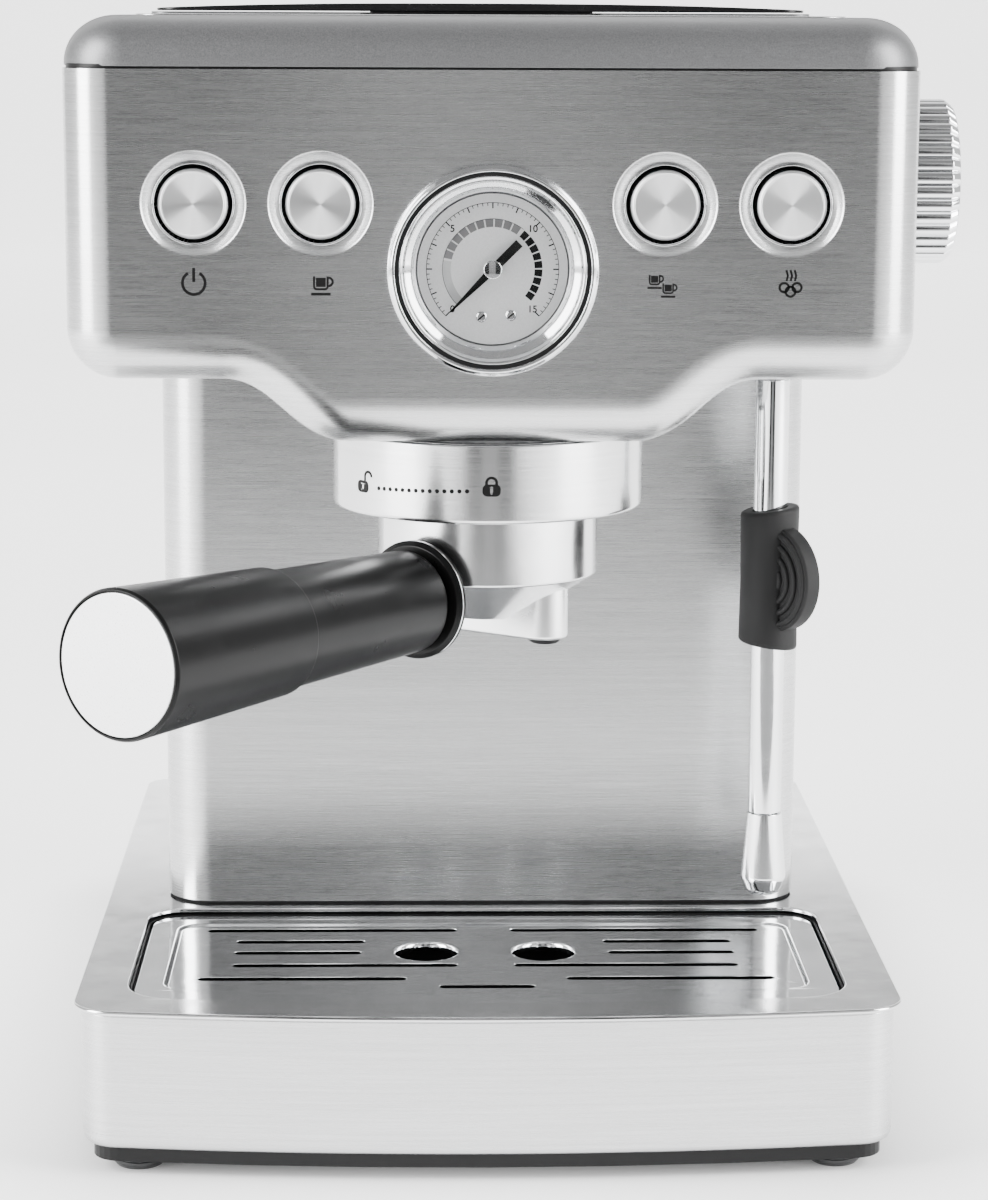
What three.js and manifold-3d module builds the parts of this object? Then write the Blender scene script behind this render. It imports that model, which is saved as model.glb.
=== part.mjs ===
// Espresso machine: a drawer drip tray, a lift-out water tank, a bayonet portafilter, a ball-jointed
// steam wand and a pressure gauge. Millimetres, +Z up, the user stands at -Y.
// While modelling, X = 0 is the machine's centre plane and Z = 0 is the worktop. At the end the whole
// machine is moved so that the origin is at the bottom centre of its bounding box.

import * as THREE from 'three';
import { mergeVertices } from 'three/addons/utils/BufferGeometryUtils.js';
import Module from 'manifold-3d';

const wasm = await Module();
wasm.setup();

// ---- Driving dimensions ----

const GAP = 0.3;
const BACK = 133.7;
const BOW_RADIUS = 836;

const DECK = { half: 115.5, front: -139.3, back: 139, bottom: 47.5, top: 49, corner: 12.5, rear: 8 };
const BAND = { half: 113.5, front: -137.3, back: 137, bottom: 8.4, top: 47.2, corner: 11, rear: 7 };
const BAND_SHEET = 1.2;
const DRAWER_SEAM = -105;
const DRAWER_HALF = 101.2;
const DRAWER_BACK = -23;

const GRILLE = { half: 100, front: -124.2, back: -31.4, bottom: 45.6, top: 47.1, corner: 13, rear: 10 };
const GRILLE_FIELD = { half: 90.5, front: -109.5, back: -41.5, corner: 5, rear: 5 };
const DECK_CLEARANCE = 1.2;
const SEAT_CLEARANCE = 0.6;
const FINGER_HOLE = { x: 17.3, y: -67, radius: 9 };
const SLOT_ROWS = [
  { from: 8, to: 83, y: -45.3 },
  { from: 35.5, to: 73.7, y: -57.2 },
  { from: 36.4, to: 73.7, y: -68.5 },
  { from: 8.2, to: 73.6, y: -81.2 },
  { from: 23, to: 82.8, y: -94.3 },
];
const MIDDLE_SLOT = { half: 13.7, y: -102 };
const SLOT_WIDTH = 3.4;

const COLUMN = { half: 97, front: -24.7, corner: 14, bottom: 49.3, top: 226, sheet: 1.2 };
const HEAD = { half: 113.5, front: -133, corner: 14, bottom: 222, lobe: 205.2, top: 304.2, sheet: 1.5 };
const LOBE = { shoulder: 72, shoulderPull: 58, footPull: 54, foot: 38 };
const HEAD_ROLL = 13;
const HEAD_LIP = 16.2;
const COVER = { bottom: 304.8, top: 318, corner: 17, roll: 13, wall: 3 };
const RIM = { half: 102.5, front: 30, top: 318.9 };
const LID = { half: 101, front: 31, back: 133.5, bottom: 319.2, edge: 320, crown: 321.7 };
const CUP_PLATE = { half: 95.4, front: -111.4, back: 19.4, bottom: 317.1, top: 318.3 };

const TANK = { half: 86.5, front: 70, back: 130.9, bottom: 57, top: 316, wall: 2.5 };
const WELL = { half: 87.5, wall: 2.5, front: 66, floor: 54.7, top: 303.5 };
const OUTLET = { x: -50, y: 100 };
const WINDOW = { half: 58, bottom: 95, top: 275 };

const GROUP = { y: -85, outer: 43.5, bottom: 183.4, top: 204.8 };
const BAYONET = { inner: 38, outer: 40.7, ledge: 32.1, bottom: 185, ledgeTop: 186.2, from: 18, sweep: 64 };
const EAR = { inner: 30, outer: 37.4, bottom: 186.5, top: 190.5, sweep: 30 };
const EAR_ANGLES = [60, 180, 300];
const BOWL = { outer: 31, inner: 28.4, top: 190.5, shoulder: 164.2, foot: 12, bottom: 151.6 };
const BASKET = { outer: 26.3, inner: 25.5, flange: 30.4, top: 191.7, bottom: 168.3 };
const SPOUT = { reach: 19.3, radius: 6.5, bottom: 146.5, top: 163, bore: 3.4, outlet: 2.8 };

const HANDLE_ANGLE = -125;
const HANDLE_TILT = 1.2;
const HANDLE_HEIGHT = 159.8;
const STUD = { radius: 3.7, end: 80, boss: 11.5, bossEnd: 33.5 };

const BALL = { x: 80.5, y: -79, z: 225, radius: 6.7, opening: 9.8 };
const TUBE_RADIUS = 4.75;
const FIN = { radius: 15.2, offset: 4, angle: -56, thickness: 5.4, face: -2.4, z: 161 };

const KNOB = { y: -69, z: 272.5, radius: 23, flutes: 36, inner: 115, shoulder: 128, outer: 131 };
const GAUGE = { z: 252.2, bezel: 27.9, can: 26.2, depth: 22 };
const BUTTONS = [
  { name: 'power', x: -78.7 },
  { name: 'one_cup', x: -45.3 },
  { name: 'two_cup', x: 45.3 },
  { name: 'steam', x: 78.7 },
];
const BUTTON_Z = 269.3;
const DISH = { outer: 14.3, inner: 10.9, hole: 10.3, depth: 2 };
const SWITCH_HALF = 3.5;
const BUTTON = { radius: 9.2, chamfer: 1.2, front: 1.2, back: 7, stem: 3, stemEnd: 16.5 };

const BOILER = { y: -70, radius: 33, bottom: 226, top: 284, port: 2.6, portX: 14 };
const PUMP = { x: -45, y: 24, radius: 19, bottom: 75, top: 150 };
const GLAND = { x: 85, z: 28, hole: 8 };
const FEET_X = 98;
const FEET_Y = [-117, 118];

// ---- Finishes ----

const FINISHES = {
  brushed: { color: 0xb4b6b8, roughness: 0.35, metalness: 1 },
  polished: { color: 0xd4d6d8, roughness: 0.12, metalness: 1 },
  silver: { color: 0x9a9c9e, roughness: 0.55, metalness: 0.6 },
  black: { color: 0x17181a, roughness: 0.45, metalness: 0 },
  rubber: { color: 0x222324, roughness: 0.8, metalness: 0 },
  clearRubber: { color: 0x8c8f92, roughness: 0.5, metalness: 0 },
  smoke: { color: 0x70777d, roughness: 0.15, metalness: 0, transparent: true, opacity: 0.5 },
  glass: { color: 0xffffff, roughness: 0.05, metalness: 0, transparent: true, opacity: 0.2 },
  dial: { color: 0xd2d4d6, roughness: 0.6, metalness: 0 },
  casting: { color: 0x8f9296, roughness: 0.6, metalness: 0.9 },
  brass: { color: 0xb5975a, roughness: 0.35, metalness: 1 },
  silicone: { color: 0xe6e4de, roughness: 0.5, metalness: 0 },
  board: { color: 0x2c5a3c, roughness: 0.5, metalness: 0 },
};

// ---- Solids ----

function withoutSlivers(index) {
  const kept = [];
  for (let i = 0; i < index.length; i += 3) {
    const [a, b, c] = index.slice(i, i + 3);
    if (a !== b && b !== c && c !== a) kept.push(a, b, c);
  }
  return kept;
}

function signedVolume(points, index) {
  let total = 0;
  const corners = [new THREE.Vector3(), new THREE.Vector3(), new THREE.Vector3()];
  for (let i = 0; i < index.length; i += 3) {
    corners.forEach((corner, k) => corner.fromArray(points, 3 * index[i + k]));
    total += corners[0].dot(corners[1].clone().cross(corners[2]));
  }
  return total;
}

// A closed three.js geometry as a manifold solid whose faces point out.
function solid(shape) {
  if (!shape.isBufferGeometry) return shape;
  shape.deleteAttribute('normal');
  shape.deleteAttribute('uv');
  const merged = mergeVertices(shape, 1e-4);
  const points = merged.attributes.position.array;
  const index = withoutSlivers(Array.from(merged.index.array));
  if (signedVolume(points, index) < 0) index.reverse();
  const mesh = new wasm.Mesh({ numProp: 3, vertProperties: points, triVerts: Uint32Array.from(index) });
  return new wasm.Manifold(mesh);
}

function join(first, ...others) {
  return others.reduce((body, other) => body.add(solid(other)), solid(first));
}

function cut(body, ...tools) {
  return tools.reduce((rest, tool) => rest.subtract(solid(tool)), solid(body));
}

function common(first, ...others) {
  return others.reduce((body, other) => body.intersect(solid(other)), solid(first));
}

function geometryOf(body) {
  const mesh = solid(body).getMesh();
  const geometry = new THREE.BufferGeometry();
  geometry.setAttribute('position', new THREE.BufferAttribute(mesh.vertProperties, 3));
  geometry.setIndex(new THREE.BufferAttribute(mesh.triVerts, 1));
  geometry.computeVertexNormals();
  return geometry;
}

function piece(parent, name, body, finish) {
  const mesh = new THREE.Mesh(geometryOf(body), new THREE.MeshStandardMaterial(FINISHES[finish]));
  mesh.name = name;
  parent.add(mesh);
  return mesh;
}

// ---- Basic forms ----

function block([x0, x1], [y0, y1], [z0, z1]) {
  const box = new THREE.BoxGeometry(x1 - x0, y1 - y0, z1 - z0);
  return box.translate((x0 + x1) / 2, (y0 + y1) / 2, (z0 + z1) / 2);
}

// A round bar standing on z0, its axis at (x, y).
function rod(radius, z0, z1, x = 0, y = 0, sides = 20) {
  const bar = new THREE.CylinderGeometry(radius, radius, z1 - z0, sides);
  return bar.rotateX(Math.PI / 2).translate(x, y, (z0 + z1) / 2);
}

// A form of revolution about +Z: the profile is a list of [radius, z].
function turned(profile, sides = 24) {
  const points = profile.map(([radius, z]) => new THREE.Vector2(radius, z));
  return new THREE.LatheGeometry(points, sides).rotateX(Math.PI / 2);
}

function ring(outer, inner, z0, z1, sides = 24) {
  return turned([[inner, z0], [outer, z0], [outer, z1], [inner, z1], [inner, z0]], sides);
}

// A plan outline extruded upwards.
function prism(shape, z0, z1, curveSegments = 3) {
  const options = { depth: z1 - z0, bevelEnabled: false, curveSegments };
  return new THREE.ExtrudeGeometry(shape, options).translate(0, 0, z0);
}

// A front outline, drawn in X and Z, extruded from y1 forward to y0.
function frontPrism(shape, y0, y1, curveSegments = 4) {
  const options = { depth: y1 - y0, bevelEnabled: false, curveSegments };
  return new THREE.ExtrudeGeometry(shape, options).rotateX(Math.PI / 2).translate(0, y1, 0);
}

function along(points, radius, steps = 14) {
  const path = new THREE.CatmullRomCurve3(points.map((point) => new THREE.Vector3(...point)));
  const section = new THREE.Shape().absarc(0, 0, radius, 0, 2 * Math.PI);
  return new THREE.ExtrudeGeometry(section, { steps, curveSegments: 4, extrudePath: path });
}

// ---- Outlines ----

// A closed outline through [x, y, radius] corners, listed counter-clockwise.
function roundedOutline(corners) {
  const shape = new THREE.Shape();
  corners.forEach(([x, y, radius], i) => {
    const here = new THREE.Vector2(x, y);
    const before = new THREE.Vector2(...corners.at(i - 1)).sub(here).normalize();
    const after = new THREE.Vector2(...corners[(i + 1) % corners.length]).sub(here).normalize();
    const halfAngle = Math.acos(before.dot(after)) / 2;
    const reach = radius / Math.tan(halfAngle);
    const middle = before.clone().add(after).normalize().multiplyScalar(radius / Math.sin(halfAngle));
    const centre = here.clone().add(middle);
    const start = here.clone().addScaledVector(before, reach).sub(centre);
    const end = here.clone().addScaledVector(after, reach).sub(centre);
    shape.absarc(centre.x, centre.y, radius, start.angle(), end.angle(), before.cross(after) > 0);
  });
  return shape;
}

function roundedRect([x0, x1], [y0, y1], radius) {
  return roundedOutline([[x1, y1, radius], [x0, y1, radius], [x0, y0, radius], [x1, y0, radius]]);
}

// The base's plan: straight sides and back, and a front edge bowed towards the user.
function bowedPlan({ half, front, back, corner, rear }, inset = 0) {
  const width = half - inset;
  const radius = corner - inset;
  const bow = BOW_RADIUS - inset;
  const turn = Math.asin((width - radius) / bow);
  const apex = front + inset - bow * (1 / Math.cos(turn) - 1);
  const shoulder = apex + Math.tan(turn) * width;
  return roundedOutline([
    [width, back - inset, rear - inset],
    [-width, back - inset, rear - inset],
    [-width, shoulder, radius],
    [0, apex, bow],
    [width, shoulder, radius],
  ]);
}

// The head's front outline: a flat underside with a wide lobe that comes down over the group.
function headOutline(inset, top) {
  const half = HEAD.half - inset;
  const radius = HEAD.corner - inset;
  const bottom = HEAD.bottom + inset;
  const lobe = HEAD.lobe + inset;
  const [shoulder, shoulderPull, footPull, foot] = Object.values(LOBE).map((x) => x - 0.5 * inset);
  const shape = new THREE.Shape();
  shape.moveTo(-half, top);
  shape.lineTo(-half, bottom + radius);
  shape.absarc(-half + radius, bottom + radius, radius, Math.PI, 1.5 * Math.PI);
  shape.lineTo(-shoulder, bottom);
  shape.bezierCurveTo(-shoulderPull, bottom, -footPull, lobe, -foot, lobe);
  shape.lineTo(foot, lobe);
  shape.bezierCurveTo(footPull, lobe, shoulderPull, bottom, shoulder, bottom);
  shape.absarc(half - radius, bottom + radius, radius, 1.5 * Math.PI, 2 * Math.PI);
  shape.lineTo(half, top);
  return shape;
}

// A sector of a flat ring between two angles in degrees.
function ringSector(outer, inner, fromAngle, toAngle) {
  const from = THREE.MathUtils.degToRad(fromAngle);
  const to = THREE.MathUtils.degToRad(toAngle);
  const shape = new THREE.Shape();
  shape.absarc(0, 0, outer, from, to, false);
  shape.absarc(0, 0, inner, to, from, true);
  return shape;
}

function slot(x0, x1, y, width) {
  const radius = width / 2;
  const shape = new THREE.Shape();
  shape.absarc(x1 - radius, y, radius, -Math.PI / 2, Math.PI / 2);
  shape.absarc(x0 + radius, y, radius, Math.PI / 2, 1.5 * Math.PI);
  return shape;
}

// ---- Base ----

function addFeet(parent) {
  const profile = [[0, 0], [6.2, 0], [7.4, 1.2], [7.4, 3.9], [0, 3.9]];
  FEET_Y.forEach((y, row) => {
    for (const side of [-1, 1]) {
      const name = `foot_${row ? 'rear' : 'front'}_${side < 0 ? 'left' : 'right'}`;
      piece(parent, name, turned(profile, 16), 'clearRubber').position.set(side * FEET_X, y, 0);
    }
  });
}

function chassis() {
  return cut(
    join(
      prism(bowedPlan(BAND, 3), 4.2, 10),
      prism(bowedPlan(BAND, BAND_SHEET + GAP), 8.1, BAND.top),
    ),
    block([-150, 150], [-160, DRAWER_SEAM + GAP], [8.1, 60]),
    block([-DRAWER_HALF - GAP, DRAWER_HALF + GAP], [-160, DRAWER_BACK + GAP], [8.1, 60]),
    block([-100, 100], [-12, 126], [12, 60]),
    glandHole(),
  );
}

function glandHole() {
  return rod(GLAND.hole, 120, 145, 0, 0, 16).rotateX(-Math.PI / 2).translate(GLAND.x, 0, GLAND.z);
}

function bandRing() {
  return cut(
    prism(bowedPlan(BAND), BAND.bottom, BAND.top),
    prism(bowedPlan(BAND, BAND_SHEET), 0, 60),
  );
}

function deck() {
  return cut(
    prism(bowedPlan(DECK), DECK.bottom, DECK.top),
    prism(bowedPlan(GRILLE, -DECK_CLEARANCE), 40, 60),
    prism(roundedRect([-90, 90], [-18, 126], 5), 40, 60),
  );
}

function dripTray() {
  const tray = join(
    common(
      prism(bowedPlan(BAND, BAND_SHEET + GAP), 8.6, BAND.top),
      block([-150, 150], [-160, DRAWER_SEAM], [0, 60]),
    ),
    block([-DRAWER_HALF, DRAWER_HALF], [DRAWER_SEAM - 5, DRAWER_BACK - GAP], [8.6, GRILLE.top]),
  );
  const bowl = { half: 96.5, front: -120.7, back: -34.5, corner: 10, rear: 8 };
  return cut(
    tray,
    prism(bowedPlan(GRILLE, -SEAT_CLEARANCE), GRILLE.bottom - GAP, 60),
    prism(bowedPlan(bowl), 11.5, 60),
  );
}

function grille() {
  const { x: holeX, y: holeY, radius } = FINGER_HOLE;
  const slots = SLOT_ROWS.flatMap(({ from, to, y }) => [
    slot(from, to, y, SLOT_WIDTH),
    slot(-to, -from, y, SLOT_WIDTH),
  ]);
  slots.push(slot(-MIDDLE_SLOT.half, MIDDLE_SLOT.half, MIDDLE_SLOT.y, SLOT_WIDTH));
  const fingerHoles = [-1, 1].map((side) => rod(radius, 40, 60, side * holeX, holeY));
  return cut(
    prism(bowedPlan(GRILLE), GRILLE.bottom, GRILLE.top),
    prism(bowedPlan(GRILLE_FIELD), GRILLE.top - 0.7, 60),
    ...slots.map((outline) => prism(outline, 40, 60, 1)),
    ...fingerHoles,
  );
}

function cordGland() {
  const profile = [
    [3.6, 126], [7.6, 126], [7.6, 137.3], [10.5, 137.3], [9.6, 139], [5.2, 139], [3.6, 137], [3.6, 126],
  ];
  return turned(profile, 16).rotateX(-Math.PI / 2).translate(GLAND.x, 0, GLAND.z);
}

function buildBase() {
  const base = new THREE.Group();
  const front = block([-150, 150], [-160, DRAWER_SEAM], [0, 60]);
  const rest = block([-150, 150], [DRAWER_SEAM + GAP, 160], [0, 60]);
  addFeet(base);
  piece(base, 'base_chassis', chassis(), 'black');
  piece(base, 'base_wrap', cut(common(bandRing(), rest), glandHole()), 'brushed');
  piece(base, 'drawer_front', common(bandRing(), front), 'brushed');
  piece(base, 'drip_tray', dripTray(), 'black');
  piece(base, 'drip_grille', grille(), 'polished');
  piece(base, 'top_deck', deck(), 'polished');
  piece(base, 'cord_gland', cordGland(), 'rubber');
  return base;
}

// ---- Column and water tank ----

function columnSkin() {
  const { half, front, corner, bottom, top, sheet } = COLUMN;
  return cut(
    prism(roundedRect([-half, half], [front, 200], corner), bottom, top),
    prism(roundedRect([-half + sheet, half - sheet], [front + sheet, 210], corner - sheet), 0, 300),
    block([-150, 150], [BACK - 2, 300], [0, 300]),
  );
}

function backCover() {
  const outline = roundedOutline([
    [COLUMN.half - 0.2, 49.4, 1],
    [COLUMN.half - 0.2, 222.3, 1],
    [HEAD.half - 0.2, 222.3, 12],
    [HEAD.half - 0.2, HEAD.top, 1],
    [-HEAD.half + 0.2, HEAD.top, 1],
    [-HEAD.half + 0.2, 222.3, 12],
    [-COLUMN.half + 0.2, 222.3, 1],
    [-COLUMN.half + 0.2, 49.4, 1],
  ]);
  outline.holes.push(roundedRect([-WINDOW.half, WINDOW.half], [WINDOW.bottom, WINDOW.top], 10));
  for (const side of [-1, 1]) {
    for (let row = 0; row < 6; row += 1) {
      const x = side * 101;
      outline.holes.push(slot(x - 6.5, x + 6.5, 240 + 8 * row, 3));
    }
  }
  return frontPrism(outline, BACK - 1.6, BACK, 1);
}

function tankWell() {
  const outer = WELL.half + WELL.wall;
  return cut(
    block([-outer, outer], [WELL.front, BACK - 2], [49.4, WELL.top]),
    block([-WELL.half, WELL.half], [WELL.front + WELL.wall, 200], [WELL.floor, 400]),
    rod(9.2, 52.5, 60, OUTLET.x, OUTLET.y),
    rod(4, 40, 60, OUTLET.x, OUTLET.y, 16),
  );
}

function waterTank() {
  const { half, front, back, bottom, top, wall } = TANK;
  return cut(
    prism(roundedRect([-half, half], [front, back], 8), bottom, top),
    prism(roundedRect([-half + wall, half - wall], [front + wall, back - wall], 6), bottom + wall, 400),
    rod(6.2, 40, 80, OUTLET.x, OUTLET.y, 16),
  );
}

function tankValve() {
  const profile = [
    [0, 53], [3.4, 53], [3.4, 56], [5.9, 56], [5.9, 59.8], [8.6, 59.8], [8.6, 62], [4, 66], [0, 66],
  ];
  return turned(profile, 16).translate(OUTLET.x, OUTLET.y, 0);
}

// A lid whose top rises a little towards the middle.
function tankLid() {
  const { half, front, back, bottom, edge, crown } = LID;
  const arch = new THREE.Shape();
  arch.moveTo(-half, bottom);
  arch.lineTo(half, bottom);
  arch.lineTo(half, edge);
  arch.bezierCurveTo(half * 0.75, crown, half * 0.45, crown, 0, crown);
  arch.bezierCurveTo(-half * 0.45, crown, -half * 0.75, crown, -half, edge);
  return common(
    frontPrism(arch, front, back, 4),
    prism(roundedRect([-half, half], [front, back], 8), 300, 340),
  );
}

function buildColumn() {
  const column = new THREE.Group();
  piece(column, 'column_skin', columnSkin(), 'brushed');
  piece(column, 'back_cover', backCover(), 'silver');
  piece(column, 'tank_well', tankWell(), 'black');
  piece(column, 'water_tank', waterTank(), 'smoke');
  piece(column, 'tank_valve', tankValve(), 'black');
  piece(column, 'tank_lid', tankLid(), 'black');
  return column;
}

// ---- Head ----

// The head's outer form, or the same form set in by the sheet's thickness.
function headForm(inset) {
  const roll = HEAD_ROLL - inset;
  const front = HEAD.front + inset;
  const back = 170;
  const options = {
    depth: back - front - roll,
    bevelThickness: roll,
    bevelSize: roll,
    bevelOffset: -roll,
    bevelSegments: 4,
    curveSegments: 4,
  };
  const form = new THREE.ExtrudeGeometry(headOutline(inset, 350), options);
  return form.rotateX(Math.PI / 2).translate(0, back, 0);
}

function facingFront(body, x, z) {
  return body.rotateX(Math.PI / 2).translate(x, HEAD.front, z);
}

function headShell() {
  const shell = cut(
    common(headForm(0), block([-150, 150], [-200, BACK - 2], [0, HEAD.top])),
    headForm(HEAD.sheet),
    block([-HEAD.half + HEAD_LIP, HEAD.half - HEAD_LIP], [HEAD.front + HEAD_LIP, BACK], [180, 226]),
    rod(BAYONET.inner + GAP, 190, 226, 0, GROUP.y, 36),
  );
  const behindDish = -DISH.depth - 1.2;
  const bosses = BUTTONS.map(({ x }) => facingFront(rod(DISH.outer + 1, behindDish, -0.05), x, BUTTON_Z));
  const dish = [[0, 1], [DISH.outer, 1], [DISH.outer, 0], [DISH.inner, -DISH.depth], [0, -DISH.depth]];
  const dishes = BUTTONS.map(({ x }) => facingFront(turned(dish, 20), x, BUTTON_Z));
  const bores = BUTTONS.map(({ x }) => facingFront(rod(DISH.hole, -10, 1), x, BUTTON_Z));
  return cut(
    join(shell, ...bosses),
    ...dishes,
    ...bores,
    facingFront(rod(GAUGE.can + GAP, -10, 5, 0, 0, 36), 0, GAUGE.z),
    rod(5, 105, 120, 0, 0, 20).rotateY(Math.PI / 2).translate(0, KNOB.y, KNOB.z),
  );
}

function headFloor() {
  const thickness = 2.5;
  const half = COLUMN.half;
  const bottom = HEAD.bottom + GAP;
  const lobe = HEAD.lobe + GAP;
  const floorTop = bottom + thickness;
  const lobeTop = lobe + thickness;
  const { shoulder, shoulderPull, footPull, foot } = LOBE;
  const shape = new THREE.Shape();
  shape.moveTo(-half, bottom);
  shape.lineTo(-shoulder, bottom);
  shape.bezierCurveTo(-shoulderPull, bottom, -footPull, lobe, -foot, lobe);
  shape.lineTo(foot, lobe);
  shape.bezierCurveTo(footPull, lobe, shoulderPull, bottom, shoulder, bottom);
  shape.lineTo(half, bottom);
  shape.lineTo(half, floorTop);
  shape.lineTo(shoulder, floorTop);
  shape.bezierCurveTo(shoulderPull - 1, floorTop, footPull - 2, lobeTop, foot, lobeTop);
  shape.lineTo(-foot, lobeTop);
  shape.bezierCurveTo(-footPull + 2, lobeTop, -shoulderPull + 1, floorTop, -shoulder, floorTop);
  shape.lineTo(-half, floorTop);
  return cut(
    frontPrism(shape, HEAD.front + HEAD_LIP + GAP, COLUMN.front - GAP, 5),
    rod(GROUP.outer - 1, 190, 240, 0, GROUP.y),
    rod(BALL.opening, 190, 240, BALL.x, BALL.y, 24),
  );
}

// The top cover's outer form, with its large rolled edge, or the same form set in by its wall.
function coverForm(inset) {
  const half = HEAD.half - inset;
  const roll = COVER.roll - inset;
  const plan = roundedRect([-half, half], [HEAD.front + inset, BACK + 40], COVER.corner - inset);
  const options = {
    depth: 40,
    bevelThickness: roll,
    bevelSize: roll + 1,
    bevelOffset: -roll - 1,
    bevelSegments: 4,
    curveSegments: 3,
  };
  const form = new THREE.ExtrudeGeometry(plan, options);
  return form.translate(0, 0, COVER.top - inset - roll - options.depth);
}

function topCover() {
  const fingerNotch = new THREE.Shape();
  fingerNotch.moveTo(-35, COVER.top);
  fingerNotch.lineTo(35, COVER.top);
  fingerNotch.lineTo(37.7, 325);
  fingerNotch.lineTo(-37.7, 325);
  const shell = cut(
    common(coverForm(0), block([-150, 150], [-200, BACK], [COVER.bottom, 350])),
    common(coverForm(COVER.wall), block([-150, 150], [-200, BACK - COVER.wall], [200, 350])),
  );
  return cut(
    join(shell, prism(roundedRect([-RIM.half, RIM.half], [RIM.front, BACK - 1], 6), 316, RIM.top)),
    prism(roundedRect([-96, 96], [-112, 20], 8), CUP_PLATE.bottom - GAP, 340),
    prism(roundedRect([-WELL.half, WELL.half], [WELL.front + WELL.wall, 131.4], 7), 290, 340),
    frontPrism(fingerNotch, 24, 42),
    prism(roundedRect([-27, 27], [23, 46], 5), COVER.top - 1.6, 340),
  );
}

function cupPlate() {
  const outline = roundedRect([-CUP_PLATE.half, CUP_PLATE.half], [CUP_PLATE.front, CUP_PLATE.back], 7.5);
  for (let row = 0; row < 3; row += 1) {
    for (let column = 0; column < 4; column += 1) {
      const x = -60 + 40 * column;
      outline.holes.push(slot(x - 12, x + 12, -84 + 38 * row, 3));
    }
  }
  return prism(outline, CUP_PLATE.bottom, CUP_PLATE.top, 1);
}

function buildHead() {
  const head = new THREE.Group();
  piece(head, 'head_shell', headShell(), 'brushed');
  piece(head, 'head_floor', headFloor(), 'black');
  piece(head, 'top_cover', topCover(), 'silver');
  piece(head, 'cup_plate', cupPlate(), 'brushed');
  return head;
}

// ---- Brew group ----

function groupCollar() {
  const { outer, bottom, top } = GROUP;
  const inner = BAYONET.outer + GAP;
  return turned([
    [inner, bottom], [outer - 1.4, bottom], [outer - 0.4, bottom + 0.4], [outer, bottom + 1.4],
    [outer, top], [inner, top], [inner, bottom],
  ], 36);
}

function bayonetRing() {
  const { inner, outer, ledge, bottom, ledgeTop, from, sweep } = BAYONET;
  const wall = ring(outer, inner, bottom, 205, 36);
  const ledges = EAR_ANGLES.map((angle) => {
    const start = HANDLE_ANGLE + angle + from;
    return prism(ringSector(inner + 1, ledge, start, start + sweep), bottom, ledgeTop);
  });
  return join(wall, ...ledges);
}

function buildGroup() {
  const group = new THREE.Group();
  group.position.y = GROUP.y;
  const head = cut(
    turned([[0, 192.2], [25.8, 192.2], [25.8, 197.3], [37.6, 197.3], [37.6, 224], [0, 224]]),
    rod(2.5, 180, 230, 0, 0, 12),
  );
  const screen = [[0, 188.8], [3.2, 189.2], [3.4, 190.2], [24.6, 190.6], [24.6, 191.8], [0, 191.8]];
  piece(group, 'group_collar', groupCollar(), 'polished');
  piece(group, 'bayonet_ring', bayonetRing(), 'brushed');
  piece(group, 'brew_head', head, 'casting');
  piece(group, 'group_gasket', ring(32.5, 26.2, 192.1, 197), 'rubber');
  piece(group, 'shower_screen', turned(screen), 'polished');
  return group;
}

// ---- Portafilter ----

function bowlCone(grow) {
  const { outer, foot, bottom, shoulder } = BOWL;
  return turned([
    [0, bottom - grow], [foot, bottom - grow], [outer, shoulder - grow], [outer, 180], [0, 180],
  ], 32);
}

function bowl() {
  const { outer, inner, top, shoulder, foot, bottom } = BOWL;
  const cup = turned([[0, bottom], [foot, bottom], [outer, shoulder], [outer, top], [0, top]], 32);
  const hollow = turned([[0, 155.5], [foot, 155.5], [inner, 167.4], [inner, 200], [0, 200]], 32);
  const ears = EAR_ANGLES.map((angle) => {
    const outline = ringSector(EAR.outer, EAR.inner, angle - EAR.sweep / 2, angle + EAR.sweep / 2);
    return prism(outline, EAR.bottom, EAR.top);
  });
  const boss = onHandle(rod(STUD.boss, 14, STUD.bossEnd, 0, 0, 20));
  const stud = onHandle(rod(STUD.radius, 30, STUD.end, 0, 0, 12));
  return cut(join(cup, ...ears, boss, stud), hollow, rod(SPOUT.bore, 140, 170, 0, 0, 12));
}

// Turns a form whose axis is +Z so that it lies along the handle, measured out from the bowl's axis.
function onHandle(form) {
  return form.rotateY(THREE.MathUtils.degToRad(90 - HANDLE_TILT)).translate(0, 0, HANDLE_HEIGHT);
}

function spout() {
  const { reach, radius, bottom, top, bore, outlet } = SPOUT;
  const bar = slot(-reach - radius, reach + radius, 0, 2 * radius);
  const channel = slot(-reach - outlet, reach + outlet, 0, 2 * outlet);
  return cut(
    prism(bar, bottom, top, 4).rotateZ(Math.PI / 2),
    bowlCone(GAP),
    prism(channel, 148, 150.2).rotateZ(Math.PI / 2),
    rod(bore, 149, 160, 0, 0, 12),
    rod(outlet, 140, 149, 0, -reach, 12),
    rod(outlet, 140, 149, 0, reach, 12),
  );
}

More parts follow.
